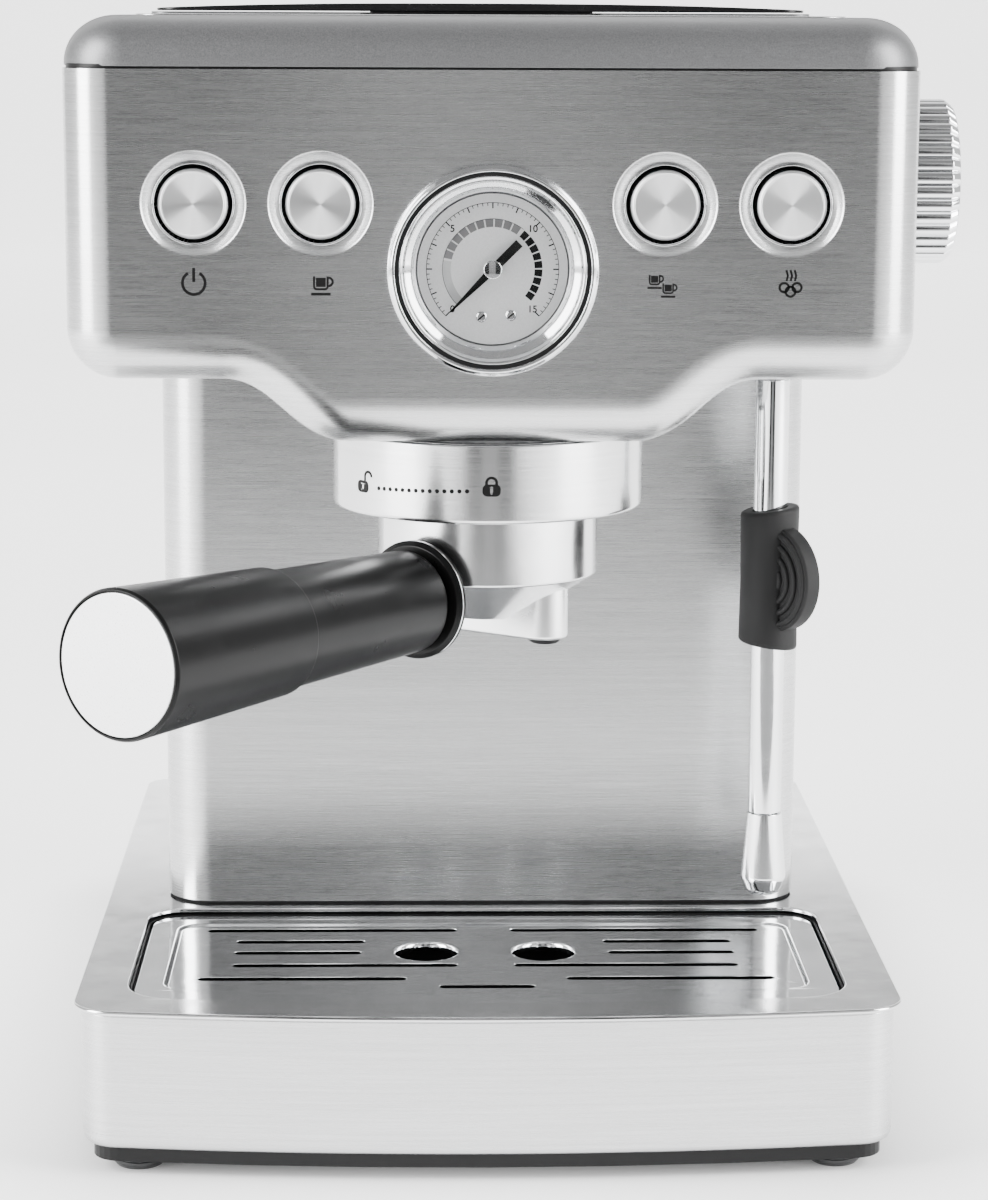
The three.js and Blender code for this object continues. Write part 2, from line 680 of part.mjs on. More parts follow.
function handlePieces(parent) {
  const handle = new THREE.Group();
  handle.position.z = HANDLE_HEIGHT;
  handle.rotation.y = THREE.MathUtils.degToRad(90 - HANDLE_TILT);
  parent.add(handle);
  const bore = STUD.radius + GAP;
  const ferrule = [
    [bore, 33.9], [15.4, 33.9], [16.3, 34.8], [16.3, 36.4], [15.2, 37.4], [bore, 37.4], [bore, 33.9],
  ];
  const neck = [
    [bore, 37.7], [13.6, 37.7], [14.1, 38.4], [15.7, 101.5], [0, 101.5], [0, STUD.end + 3],
    [bore, STUD.end + 3],
    [bore, 37.7],
  ];
  const grip = [
    [0, 101.8], [16.4, 101.8], [16.9, 102.4], [19, 160.6], [18.7, 161.4], [18.1, 161.4],
    [18.1, 160], [0, 160],
  ];
  const cap = [[0, 160.3], [17.8, 160.3], [17.8, 161.1], [17.5, 161.4], [0, 161.4]];
  piece(handle, 'handle_ferrule', turned(ferrule), 'black');
  piece(handle, 'handle_neck', turned(neck), 'black');
  piece(handle, 'handle_grip', turned(grip), 'black');
  piece(handle, 'handle_cap', turned(cap), 'polished');
}

function buildPortafilter() {
  const portafilter = new THREE.Group();
  portafilter.position.y = GROUP.y;
  portafilter.rotation.z = THREE.MathUtils.degToRad(HANDLE_ANGLE);
  const { outer, inner, flange, top, bottom } = BASKET;
  const basket = turned([
    [0, bottom], [outer - 2, bottom], [outer, bottom + 2], [outer, top - 0.9], [flange, top - 0.9],
    [flange, top],
    [inner, top], [inner, bottom + 2.2], [inner - 1.6, bottom + 0.8], [0, bottom + 0.8],
  ]);
  const nozzle = [
    [1.4, 145.1], [3.4, 145.1], [4.6, 145.8], [4.6, 146.2], [2.5, 146.2], [2.5, 149], [1.4, 149],
    [1.4, 145.1],
  ];
  piece(portafilter, 'filter_basket', basket, 'polished');
  piece(portafilter, 'portafilter_bowl', bowl(), 'polished');
  piece(portafilter, 'spout', spout(), 'polished');
  for (const side of [-1, 1]) {
    const name = side < 0 ? 'spout_nozzle_left' : 'spout_nozzle_right';
    piece(portafilter, name, turned(nozzle, 12), 'black').position.y = side * SPOUT.reach;
  }
  handlePieces(portafilter);
  return portafilter;
}

// ---- Steam wand ----

function wandGrip() {
  const bore = TUBE_RADIUS + GAP;
  const sleeve = turned([
    [bore, 141], [8.2, 141], [8.5, 142], [8.2, 161], [8.5, 179.5], [8, 180.6], [bore, 180.6], [bore, 141],
  ], 20);
  const halfDisc = new THREE.Shape().absarc(0, 0, FIN.radius, -Math.PI / 2, Math.PI / 2);
  const options = { depth: FIN.thickness, bevelEnabled: false, curveSegments: 6 };
  const fin = new THREE.ExtrudeGeometry(halfDisc, options);
  fin.rotateX(Math.PI / 2);
  fin.translate(FIN.offset, FIN.face + FIN.thickness, FIN.z);
  fin.rotateZ(THREE.MathUtils.degToRad(FIN.angle));
  return cut(join(sleeve, fin), rod(bore, 130, 200));
}

function buildWand() {
  const wand = new THREE.Group();
  wand.position.set(BALL.x, BALL.y, 0);
  const ball = new THREE.SphereGeometry(BALL.radius, 16, 10).translate(0, 0, BALL.z);
  const cavity = new THREE.SphereGeometry(BALL.radius + GAP, 16, 10).translate(0, 0, BALL.z);
  const socket = cut(
    turned([[0, 225.1], [11.4, 225.1], [11.4, 230.6], [7.7, 230.6], [7.7, 242], [0, 242]], 20),
    cavity.clone(),
    rod(2.4, 224, 250, 0, 0, 8),
  );
  const tube = cut(
    turned([
      [0, 79.5], [3.2, 79.5], [3.2, 92], [TUBE_RADIUS, 92], [TUBE_RADIUS, 218], [4.2, 221],
      [0, 221],
    ], 16),
    cavity.clone(),
    rod(2.2, 70, 230, 0, 0, 8),
  );
  const frother = turned([
    [1.6, 67.2], [4.4, 68.2], [6.2, 70.4], [6.5, 73], [5.5, 82], [4.9, 91.7], [3.5, 91.7],
    [3.5, 76], [1.6, 76],
    [1.6, 67.2],
  ], 20);
  piece(wand, 'wand_socket', socket, 'polished');
  piece(wand, 'wand_ball', ball, 'polished');
  piece(wand, 'wand_tube', tube, 'polished');
  piece(wand, 'wand_grip', wandGrip(), 'rubber');
  piece(wand, 'frother_sleeve', frother, 'polished');
  return wand;
}

// ---- Steam valve and knob ----

function fluted(radius, depth, count) {
  const shape = new THREE.Shape();
  for (let i = 0; i < count; i += 1) {
    const pitch = (2 * Math.PI) / count;
    for (const [turn, reach] of [[0, radius], [0.45, radius], [0.72, radius - depth]]) {
      const angle = (i + turn) * pitch;
      const corner = [reach * Math.cos(angle), reach * Math.sin(angle)];
      if (i + turn === 0) shape.moveTo(...corner);
      else shape.lineTo(...corner);
    }
  }
  return shape;
}

function buildSteamValve() {
  const valve = new THREE.Group();
  valve.position.set(0, KNOB.y, KNOB.z);
  valve.rotation.y = Math.PI / 2;
  const { radius, flutes, inner, shoulder, outer } = KNOB;
  const dome = turned([
    [0, inner], [radius, inner], [radius, shoulder], [21.4, 130.1], [18, outer], [0, outer],
  ], 30);
  const knob = cut(
    common(prism(fluted(radius, 0.9, flutes), inner, outer), dome),
    rod(4, 110, 122.6, 0, 0, 16),
  );
  const body = cut(
    join(block([-9, 9], [-9, 9], [84, 104]), rod(8, 103, 111.6)),
    rod(4, 90, 115, 0, 0, 16),
  );
  piece(valve, 'steam_knob', knob, 'polished');
  piece(valve, 'valve_stem', rod(3.7, 92, 122.3, 0, 0, 16), 'brass');
  piece(valve, 'valve_body', body, 'brass');
  return valve;
}

// ---- Pressure gauge ----

function needleBlade() {
  const shape = new THREE.Shape();
  shape.moveTo(16, 0);
  shape.lineTo(1.6, 0.8);
  shape.lineTo(0, 0.9);
  shape.lineTo(-9.9, 1.15);
  shape.lineTo(-9.9, -1.15);
  shape.lineTo(0, -0.9);
  shape.lineTo(1.6, -0.8);
  const blade = prism(shape, -1.9, -1.3).rotateZ(THREE.MathUtils.degToRad(225));
  return join(blade, turned([[0, -2.7], [1.4, -2.7], [1.4, -2], [2.5, -2], [2.5, -0.8], [0, -0.8]], 20));
}

function buildGauge() {
  const gauge = new THREE.Group();
  gauge.position.set(0, HEAD.front, GAUGE.z);
  gauge.rotation.x = Math.PI / 2;
  const { bezel, can, depth } = GAUGE;
  const housing = turned([
    [0, -depth], [can, -depth], [can, GAP], [bezel, GAP], [bezel, 2.4], [26.9, 3.8], [25.6, 3.8],
    [24.6, 2.3],
    [24.6, -4.6], [0, -4.6],
  ], 36);
  piece(gauge, 'gauge_housing', housing, 'polished');
  const dial = [[0, -4.3], [24, -4.3], [24, -1.2], [23.4, -1.2], [20, -3.3], [0, -3.3]];
  piece(gauge, 'gauge_dial', turned(dial, 30), 'dial');
  piece(gauge, 'gauge_needle', needleBlade(), 'black');
  piece(gauge, 'gauge_lens', turned([[0, 0.4], [24.3, 0.4], [24.3, 1.5], [0, 1.5]], 30), 'glass');
  return gauge;
}

// ---- Buttons ----

function buildButtons() {
  const panel = new THREE.Group();
  const { radius, chamfer, front, back, stem, stemEnd } = BUTTON;
  const profile = [
    [0, -stemEnd], [stem, -stemEnd], [stem, -back], [radius, -back], [radius, front - chamfer / 2],
    [radius - chamfer, front], [0, front],
  ];
  for (const { name, x } of BUTTONS) {
    const button = piece(panel, `button_${name}`, turned(profile), 'brushed');
    button.position.set(x, HEAD.front, BUTTON_Z);
    button.rotation.x = Math.PI / 2;
  }
  const boardFront = HEAD.front + stemEnd + 4.6;
  const half = SWITCH_HALF;
  const board = join(
    block([-97, 97], [boardFront, boardFront + 1.6], [261, 286]),
    ...BUTTONS.map(({ x }) => block(
      [x - half, x + half],
      [boardFront - 2, boardFront + 0.5],
      [BUTTON_Z - half, BUTTON_Z + half],
    )),
  );
  const gaugeHole = facingFront(rod(GAUGE.can + 1.2, -40, 0), 0, GAUGE.z);
  piece(panel, 'switch_board', cut(board, gaugeHole), 'board');
  return panel;
}

// ---- Water and steam system ----

function boiler() {
  const { radius, bottom, top, port, portX } = BOILER;
  const shell = turned([
    [0, bottom], [radius, bottom], [radius, top - 6], [radius - 6, top], [0, top],
  ]);
  const inside = turned([
    [0, bottom + 3], [radius - 3, bottom + 3], [radius - 3, top - 7], [radius - 8, top - 3], [0, top - 3],
  ]);
  const ports = [-portX, portX].map((x) => rod(port, 270, 300, x, 0, 12));
  return cut(shell, inside, ...ports);
}

function pumpBody() {
  const { radius, bottom, top } = PUMP;
  return turned([
    [5.3, bottom], [9, bottom], [9, 84], [radius, 86], [radius, 134], [9, 136], [9, top],
    [5.3, top], [5.3, bottom],
  ], 20);
}

function controlBoard() {
  return join(
    block([18, 80], [18, 19.6], [70, 160]),
    block([24, 46], [2, 18.5], [78, 100]),
    block([52, 70], [6, 18.5], [80, 110]),
    block([28, 60], [8, 18.5], [120, 134]),
  );
}

function buildInside() {
  const inside = new THREE.Group();
  const pumpAt = [PUMP.x, PUMP.y, 0];
  piece(inside, 'boiler', boiler(), 'casting').position.y = BOILER.y;
  piece(inside, 'pump_body', pumpBody(), 'casting').position.set(...pumpAt);
  piece(inside, 'pump_piston', rod(5, 95, 130, 0, 0, 20), 'brushed').position.set(...pumpAt);
  piece(inside, 'control_board', controlBoard(), 'board');
  piece(inside, 'suction_hose', along([
    [OUTLET.x, OUTLET.y, 49], [OUTLET.x, OUTLET.y, 40], [OUTLET.x, 88, 28], [PUMP.x, 60, 24],
    [PUMP.x, 32, 32],
    [PUMP.x, PUMP.y, 50], [PUMP.x, PUMP.y, 74.6],
  ], 3.6), 'silicone');
  piece(inside, 'pressure_hose', along([
    [PUMP.x, PUMP.y, 150.4], [PUMP.x, PUMP.y, 180], [-52, 20, 240], [-46, -20, 284], [-26, -55, 298],
    [-BOILER.portX, BOILER.y, 296], [-BOILER.portX, BOILER.y, 284.4],
  ], 2.3), 'silicone');
  piece(inside, 'steam_pipe', along([
    [BOILER.portX, BOILER.y, 284.4], [BOILER.portX, BOILER.y, 293], [28, BOILER.y, 299],
    [58, KNOB.y, 298], [72, KNOB.y, 286],
    [76, KNOB.y, 273.5], [83.2, KNOB.y, KNOB.z],
  ], 2.3), 'brass');
  piece(inside, 'wand_pipe', along([
    [94, KNOB.y, 262.6], [94, KNOB.y, 259], [88, -75, 253], [BALL.x, BALL.y, 248], [BALL.x, BALL.y, 242.4],
  ], 2.3, 14), 'brass');
  return inside;
}

// ---- Assembly ----

function standOnOrigin(machine) {
  const box = new THREE.Box3().setFromObject(machine, true);
  const centre = box.getCenter(new THREE.Vector3());
  machine.position.set(-centre.x, -centre.y, -box.min.z);
  return machine;
}

const machine = new THREE.Group();
machine.add(
  buildBase(),
  buildColumn(),
  buildHead(),
  buildGroup(),
  buildPortafilter(),
  buildWand(),
  buildSteamValve(),
  buildGauge(),
  buildButtons(),
  buildInside(),
);

export default standOnOrigin(machine);
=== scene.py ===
import math

import bmesh
import bpy
from mathutils import Matrix, Vector
from mathutils.geometry import tessellate_polygon


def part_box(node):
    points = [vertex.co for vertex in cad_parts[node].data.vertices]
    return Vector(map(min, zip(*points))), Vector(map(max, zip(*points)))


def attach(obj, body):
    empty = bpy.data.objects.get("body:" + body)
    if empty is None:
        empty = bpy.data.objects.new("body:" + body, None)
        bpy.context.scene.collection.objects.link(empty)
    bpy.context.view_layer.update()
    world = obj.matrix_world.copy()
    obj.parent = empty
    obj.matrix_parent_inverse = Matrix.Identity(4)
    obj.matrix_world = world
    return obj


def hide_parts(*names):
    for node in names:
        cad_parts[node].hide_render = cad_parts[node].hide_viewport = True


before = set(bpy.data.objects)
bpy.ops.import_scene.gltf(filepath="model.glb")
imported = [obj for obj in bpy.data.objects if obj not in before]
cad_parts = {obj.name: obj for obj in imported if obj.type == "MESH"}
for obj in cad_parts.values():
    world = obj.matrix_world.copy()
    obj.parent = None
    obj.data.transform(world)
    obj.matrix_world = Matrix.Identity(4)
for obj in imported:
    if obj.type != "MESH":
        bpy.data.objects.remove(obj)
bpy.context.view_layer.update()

MM = 0.001
GROUP_Y = -85
CHORD_ERROR = 0.015


def middle_of(node):
    low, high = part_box(node)
    return (low + high) / 2


ORIGIN = middle_of("group_collar") - Vector((0, GROUP_Y * MM, 0))
ORIGIN.z = 0
TO_FRAME = Matrix.Translation(ORIGIN) @ Matrix.Scale(MM, 4)


def in_frame(x, y, z):
    return TO_FRAME @ Vector((x, y, z))


def move(x, y, z):
    return Matrix.Translation((x, y, z))


def rotate(degrees, axis):
    return Matrix.Rotation(math.radians(degrees), 4, axis)


# ---- Driving dimensions ----

BACK = 133.7
BOW_RADIUS = 836
DECK = {"half": 115.5, "front": -139.3, "back": 139, "corner": 12.5, "rear": 8}
DECK_Z = (47.5, 49)
BAND = {"half": 113.5, "front": -137.3, "back": 137, "corner": 11, "rear": 7}
BAND_Z = (8.4, 47.2)
DRAWER_SEAM = -105
SEAM_GAP = 0.3
GRILLE = {"half": 100, "front": -124.2, "back": -31.4, "corner": 13, "rear": 10}
FIELD = {"half": 90.5, "front": -109.5, "back": -41.5, "corner": 5, "rear": 5}
GRILLE_Z = (45.6, 47.1)
SLOT_ROWS = [(8, 83, -45.3), (35.5, 73.7, -57.2), (36.4, 73.7, -68.5), (8.2, 73.6, -81.2), (23, 82.8, -94.3)]
SLOT_WIDTH = 3.4
COLUMN = {"half": 97, "front": -24.7, "corner": 14}
HEAD = {"half": 113.5, "front": -133, "corner": 14, "bottom": 222, "lobe": 205.2, "top": 304.2}
HEAD_ROLL = 13
COVER = {"bottom": 304.8, "top": 318, "corner": 17, "roll": 13}
RIM = {"half": 102.5, "front": 30, "back": 132.7, "low": 316.6, "top": 318.9}
LID = {"half": 101, "front": 31, "back": 133.5, "bottom": 319.2, "edge": 320, "crown": 321.7}
HANDLE_ANGLE = -125
HANDLE_TILT = 1.2
HANDLE_HEIGHT = 159.8
COLLAR = {"radius": 43.5, "inside": 41, "bottom": 183.4, "top": 204.8}
BOWL = {"hole": 3.4, "throat": 12, "radius": 31, "floor": 151.6, "shoulder": 164.2, "top": 190.5}
SPOUT = {"reach": 19.3, "radius": 6.5, "bottom": 146.5}
WAND_AXIS = (80.5, -79)
FINGER_HOLE = {"x": 17.3, "y": -67}
TUBE = 4.75
WAND_OPENING = 9.8
WAND_GRIP = {"bottom": 141, "top": 180.6, "hole": 5.05, "slant": 0.14}
FIN = {"radius": 15.2, "offset": 4, "angle": -56, "thickness": 5.4, "face": -2.4, "z": 161}
KNOB = {"y": -69, "z": 272.5, "radius": 23, "flutes": 36}
GAUGE_Z = 252.2
BUTTONS = {"power": -78.7, "one_cup": -45.3, "two_cup": 45.3, "steam": 78.7}
BUTTON_Z = 269.3

# (radius, depth) steps of the hollow round a button, from the head's face inwards.
DISH = [(14.1, 0), (13.85, 0.05), (13.6, 0.2), (13.25, 0.55), (12.7, 1.05), (12.1, 1.45), (11.5, 1.78),
        (10.95, 1.95), (10.3, 2), (10.3, 9)]
ICON_Z = 248.6
PRINT_GAP = 0.005


# ---- Outlines: lists of 2-D points, counter-clockwise, with the inside on the left ----

def polar(radius, angle):
    return Vector((radius * math.cos(angle), radius * math.sin(angle)))


def rounded(corners, closed=True):
    """A polyline through (x, y, radius) corners, each turned with an arc."""
    points = []
    last = len(corners) - 1
    for i, (x, y, radius) in enumerate(corners):
        here = Vector((x, y))
        if radius == 0 or (not closed and i in (0, last)):
            points.append(here)
            continue
        before = (Vector(corners[i - 1][:2]) - here).normalized()
        after = (Vector(corners[(i + 1) % len(corners)][:2]) - here).normalized()
        half = before.angle(after) / 2
        centre = here + (before + after).normalized() * (radius / math.sin(half))
        start = here + before * (radius / math.tan(half)) - centre
        end = here + after * (radius / math.tan(half)) - centre
        first = math.atan2(start.y, start.x)
        sweep = (math.atan2(end.y, end.x) - first + math.pi) % (2 * math.pi) - math.pi
        step = 2 * math.acos(max(0.85, 1 - CHORD_ERROR / radius))
        steps = max(3, math.ceil(abs(sweep) / step))
        for k in range(steps + 1):
            points.append(centre + polar(radius, first + sweep * k / steps))
    return points


def open_line(corners):
    return rounded(corners, False)


def rectangle(x0, x1, y0, y1, radius=0):
    return rounded([(x1, y1, radius), (x0, y1, radius), (x0, y0, radius), (x1, y0, radius)])


def bow_corners(plan, grow=0):
    """The corners of the bowed front edge, from left to right."""
    half = plan["half"] + grow
    radius = plan["corner"] + grow
    bow = BOW_RADIUS + grow
    turn = math.asin((half - radius) / bow)
    apex = plan["front"] - grow - bow * (1 / math.cos(turn) - 1)
    shoulder = apex + math.tan(turn) * half
    return [(-half, shoulder, radius), (0, apex, bow), (half, shoulder, radius)]


def bowed(plan, grow=0):
    half = plan["half"] + grow
    back = plan["back"] + grow
    rear = plan["rear"] + grow
    return rounded([(half, back, rear), (-half, back, rear), *bow_corners(plan, grow)])


def circle(radius, x=0.0, y=0.0, sides=96):
    return [Vector((x, y)) + polar(radius, 2 * math.pi * i / sides) for i in range(sides)]


def capsule(x0, x1, y, width):
    """A slot with round ends."""
    half = width / 2
    return rectangle(x0, x1, y - half, y + half, half * 0.999)


def split_edges(outline, longest=1.5):
    """The outline with points added along its long edges."""
    points = []
    for a, b in zip(outline, outline[1:] + outline[:1]):
        parts = max(1, math.ceil((b - a).length / longest))
        points += [a.lerp(b, i / parts) for i in range(parts)]
    return points


def bezier(a, b, c, d, steps=20):
    points = []
    for i in range(steps + 1):
        t = i / steps
        s = 1 - t
        x, y = (s ** 3 * a[k] + 3 * s * s * t * b[k] + 3 * s * t * t * c[k] + t ** 3 * d[k] for k in (0, 1))
        points.append(Vector((x, y)))
    return points


def inset(points, distance, closed=True):
    """The outline moved inwards by distance, or outwards where it is negative."""
    moved = []
    count = len(points)
    for i, here in enumerate(points):
        edges = []
        if closed or i > 0:
            edges.append(here - points[i - 1])
        if closed or i < count - 1:
            edges.append(points[(i + 1) % count] - here)
        normals = [Vector((-edge.y, edge.x)).normalized() for edge in edges if edge.length > 1e-6]
        mean = sum(normals, Vector((0, 0))).normalized()
        moved.append(here + mean * (distance / max(0.3, mean.dot(normals[0]))))
    return moved


def roll_steps(count):
    """A quarter turn in equal steps, each as its (run, rise) still to go from (0, 1) to (1, 0)."""
    angles = [math.pi / 2 * k / count for k in range(1, count + 1)]
    return [(1 - math.cos(angle), 1 - math.sin(angle)) for angle in angles]


def edge_profile(z0, z1, low_round, high_round):
    """(inset, height) steps up the side of a slab with rounded edges."""
    low, high = (0, z0, low_round * 0.999), (0, z1, high_round * 0.999)
    return open_line([(low_round, z0, 0), low, high, (high_round, z1, 0)])


# ---- Mesh building ----

def up(points, z):
    return [Vector((p.x, p.y, z)) for p in points]


def front(points, y):
    """Points drawn in X and Z, stood up in the plane at y."""
    return [Vector((p.x, y, p.y)) for p in points]


def stacked(outline, steps, closed=True):
    """Rings of an outline at (inset, height) steps."""
    return [up(inset(outline, distance, closed), z) for distance, z in steps]


def loft(bm, rings, closed=True):
    """Quads between successive rings of equally many points. Returns the vertex rings."""
    rows = [[bm.verts.new(point) for point in ring] for ring in rings]
    for low, high in zip(rows, rows[1:]):
        count = len(low)
        for i in range(count if closed else count - 1):
            j = (i + 1) % count
            bm.faces.new((low[i], low[j], high[j], high[i]))
    return rows


def fill(bm, outer, *holes):
    """A flat face with holes between vertex rings."""
    loops = [outer, *holes]
    verts = [vert for loop in loops for vert in loop]
    for corners in tessellate_polygon([[vert.co for vert in loop] for loop in loops]):
        if len(set(corners)) == 3:
            bm.faces.new([verts[k] for k in corners])


def slab(bm, outline, z0, z1, rounding=0.3, holes=(), hole_rounding=0.3):
    """A plate with rounded edges and holes."""
    outer = loft(bm, stacked(outline, edge_profile(z0, z1, rounding, rounding)))
    inner = []
    for hole in holes:
        steps = edge_profile(z0, z1, hole_rounding, hole_rounding)
        inner.append(loft(bm, stacked(hole, [(-d, z) for d, z in steps])))
    for level in (0, -1):
        fill(bm, outer[level], *[rows[level] for rows in inner])


def turned(bm, profile, sides=96, closed=False):
    """A form of revolution about +Z from (radius, height, rounding) corners."""
    steps = rounded(profile, closed=closed)
    if closed:
        steps.append(steps[0])
    loft(bm, [up(circle(max(p.x, 0), sides=sides), p.y) for p in steps])


def shaped(builder, *args, **options):
    bm = bmesh.new()
    builder(bm, *args, **options)
    return bm


def smooth_by_angle(bm, limit):
    for face in bm.faces:
        face.smooth = True
    for edge in bm.edges:
        edge.smooth = len(edge.link_faces) != 2 or edge.calc_face_angle(0) < math.radians(limit)


def link(name, bm, material):
    """An object made from a mesh, which is used up, in the scene."""
    mesh = bpy.data.meshes.new(name)
    bm.to_mesh(mesh)
    bm.free()
    mesh.materials.append(material)
    made = bpy.data.objects.new(name, mesh)
    bpy.context.scene.collection.objects.link(made)
    return made


def piece(name, bm, body, look, place=None, replaces=(), sharp=45, sheet=0.0, merge=1e-3, material=None):
    """Turns a mesh in millimetres into a piece on a body. A material, where given, overrides the look's."""
    bmesh.ops.remove_doubles(bm, verts=bm.verts, dist=merge)
    bmesh.ops.dissolve_degenerate(bm, edges=bm.edges, dist=1e-4)
    bmesh.ops.recalc_face_normals(bm, faces=bm.faces)
    bmesh.ops.transform(bm, matrix=TO_FRAME @ (place or Matrix.Identity(4)), verts=bm.verts)
    smooth_by_angle(bm, sharp)
    made = link(name, bm, material or MAT[look])
    if sheet:
        wall = made.modifiers.new("sheet", "SOLIDIFY")
        wall.thickness = sheet * MM
        wall.offset = -1
    made.modifiers.new("normals", "WEIGHTED_NORMAL").keep_sharp = True
    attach(made, body)
    if replaces:
        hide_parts(*replaces)
    return made


def turn_piece(name, profile, body, look, place, replaces=(), sides=96, closed=False, **options):
    """A piece turned about its own +Z. A closed profile makes a ring."""
    return piece(name, shaped(turned, profile, sides, closed), body, look, place, replaces, **options)


# ---- Materials ----

class Surface:
    """A procedural material on the Principled shader, in the piece's own coordinates in metres."""

    def __init__(self, name, color, roughness, metallic=0.0, **sockets):
        self.material = bpy.data.materials.new(name)
        self.material.use_nodes = True
        self.tree = self.material.node_tree
        self.shader = self.tree.nodes["Principled BSDF"]
        self.color = color
        self.set("Base Color", (*color, 1))
        self.set("Roughness", roughness)
        self.set("Metallic", metallic)
        for socket, value in sockets.items():
            self.set(socket.replace("_", " "), value)
        self.place = self.tree.nodes.new("ShaderNodeTexCoord").outputs["Object"]
        self.relief = None

    def set(self, socket, value):
        self.shader.inputs[socket].default_value = value

    def node(self, kind, links=(), **settings):
        made = self.tree.nodes.new(kind)
        for key, value in settings.items():
            setattr(made, key, value)
        for socket, value in dict(links).items():
            if isinstance(value, bpy.types.NodeSocket):
                self.tree.links.new(value, made.inputs[socket])
            else:
                made.inputs[socket].default_value = value
        return made

    def drive(self, socket, source):
        self.tree.links.new(source, self.shader.inputs[socket])

    def vector(self, operation, *inputs):
        return self.node("ShaderNodeVectorMath", dict(enumerate(inputs)), operation=operation).outputs[0]

    def length(self, vector):
        return self.node("ShaderNodeVectorMath", {0: vector}, operation="LENGTH").outputs["Value"]

    def noise(self, per_metre, detail=3.0, roughness=0.5, source=None):
        """Noise with its grains per metre, as one number or one for each axis."""
        scale = per_metre if isinstance(per_metre, (tuple, list)) else (per_metre,) * 3
        mapping = self.node("ShaderNodeMapping", {"Vector": source or self.place, "Scale": scale})
        links = {"Vector": mapping.outputs[0], "Scale": 1.0, "Detail": detail, "Roughness": roughness}
        return self.node("ShaderNodeTexNoise", links).outputs["Fac"]

    def vary(self, socket, source, low, high):
        """Drives a shader value between low and high."""
        links = {"Value": source, "From Min": 0.3, "From Max": 0.7, "To Min": low, "To Max": high}
        self.drive(socket, self.node("ShaderNodeMapRange", links).outputs[0])
        return self

    def tint(self, source, low=0.9, high=1.1):
        """Varies the base colour from low to high times its own value."""
        ramp = self.node("ShaderNodeValToRGB", {"Fac": source})
        for stop, (position, factor) in zip(ramp.color_ramp.elements, ((0.3, low), (0.7, high))):
            stop.position = position
            stop.color = (*[min(1, part * factor) for part in self.color], 1)
        self.drive("Base Color", ramp.outputs[0])
        return self

    def bump(self, source, depth_mm, strength=0.5):
        links = {"Height": source, "Distance": depth_mm * MM, "Strength": strength}
        if self.relief:
            links["Normal"] = self.relief
        self.relief = self.node("ShaderNodeBump", links).outputs[0]
        self.drive("Normal", self.relief)
        return self

    def grooves_across(self, direction):
        """Spreads highlights along direction, as grooves that run across it do."""
        x, y, z = direction
        self.drive("Tangent", self.node("ShaderNodeCombineXYZ", {"X": x, "Y": y, "Z": z}).outputs[0])
        return self


def brushed(name, fine, across, color=(0.6, 0.603, 0.607), roughness=(0.22, 0.32), tint=(0.92, 1.06)):
    """Brushed steel. fine: grains per metre on each axis. across: the direction that the grooves cross."""
    steel = Surface(name, color, 0.28, 1.0, Anisotropic=0.6)
    grain = steel.noise(fine, 4, 0.65)
    coarse = steel.noise([part * 0.22 for part in fine], 3, 0.6)
    cloud = steel.noise(9, 2)
    steel.tint(coarse, *tint).vary("Roughness", grain, *roughness)
    steel.bump(grain, 0.012, 0.2).bump(coarse, 0.02, 0.08).bump(cloud, 0.15, 0.05)
    return steel.grooves_across(across).material


def polished(name, color=(0.8, 0.81, 0.82), roughness=(0.045, 0.11)):
    steel = Surface(name, color, 0.07, 1.0)
    smear = steel.noise((70, 70, 160), 4, 0.6)
    steel.tint(steel.noise(40, 2), 0.95, 1.04).vary("Roughness", smear, *roughness)
    return steel.bump(steel.noise((900, 900, 2600), 3), 0.004, 0.12).material


def spun(name, centre):
    """A sunburst face towards the user: light spreads round centre, with faint rings on top."""
    steel = Surface(name, (0.8, 0.805, 0.81), 0.5, 1.0, Anisotropic=0.95)
    flat = steel.vector("MULTIPLY", steel.vector("SUBTRACT", steel.place, centre), (1, 0, 1))
    rings = steel.node("ShaderNodeCombineXYZ", {"X": steel.length(flat), "Y": 0.0, "Z": 0.0}).outputs[0]
    grain = steel.noise((9000, 1, 1), 3, 0.7, rings)
    steel.tint(grain, 0.9, 1.06).vary("Roughness", grain, 0.42, 0.54).bump(grain, 0.006, 0.2)
    steel.drive("Tangent", steel.vector("CROSS_PRODUCT", flat, (0, 1, 0)))
    return steel.material


def moulded(name, color, roughness, grain_per_metre=2600, depth=0.012, **sockets):
    """Moulded plastic or rubber with a fine matte grain and faint handling marks."""
    stuff = Surface(name, color, sum(roughness) / 2, 0.0, **sockets)
    grain = stuff.noise(grain_per_metre, 3, 0.6)
    marks = stuff.noise(60, 4, 0.6)
    return stuff.tint(marks, 0.85, 1.2).vary("Roughness", marks, *roughness).bump(grain, depth, 0.35).material


def grained(name, color, metallic, noise, tint, roughness, bump):
    """Metal, paint or a satin plate with one grain that varies its colour, roughness and relief."""
    stuff = Surface(name, color, sum(roughness) / 2, metallic)
    grain = stuff.noise(*noise)
    return stuff.tint(grain, *tint).vary("Roughness", grain, *roughness).bump(grain, *bump).material


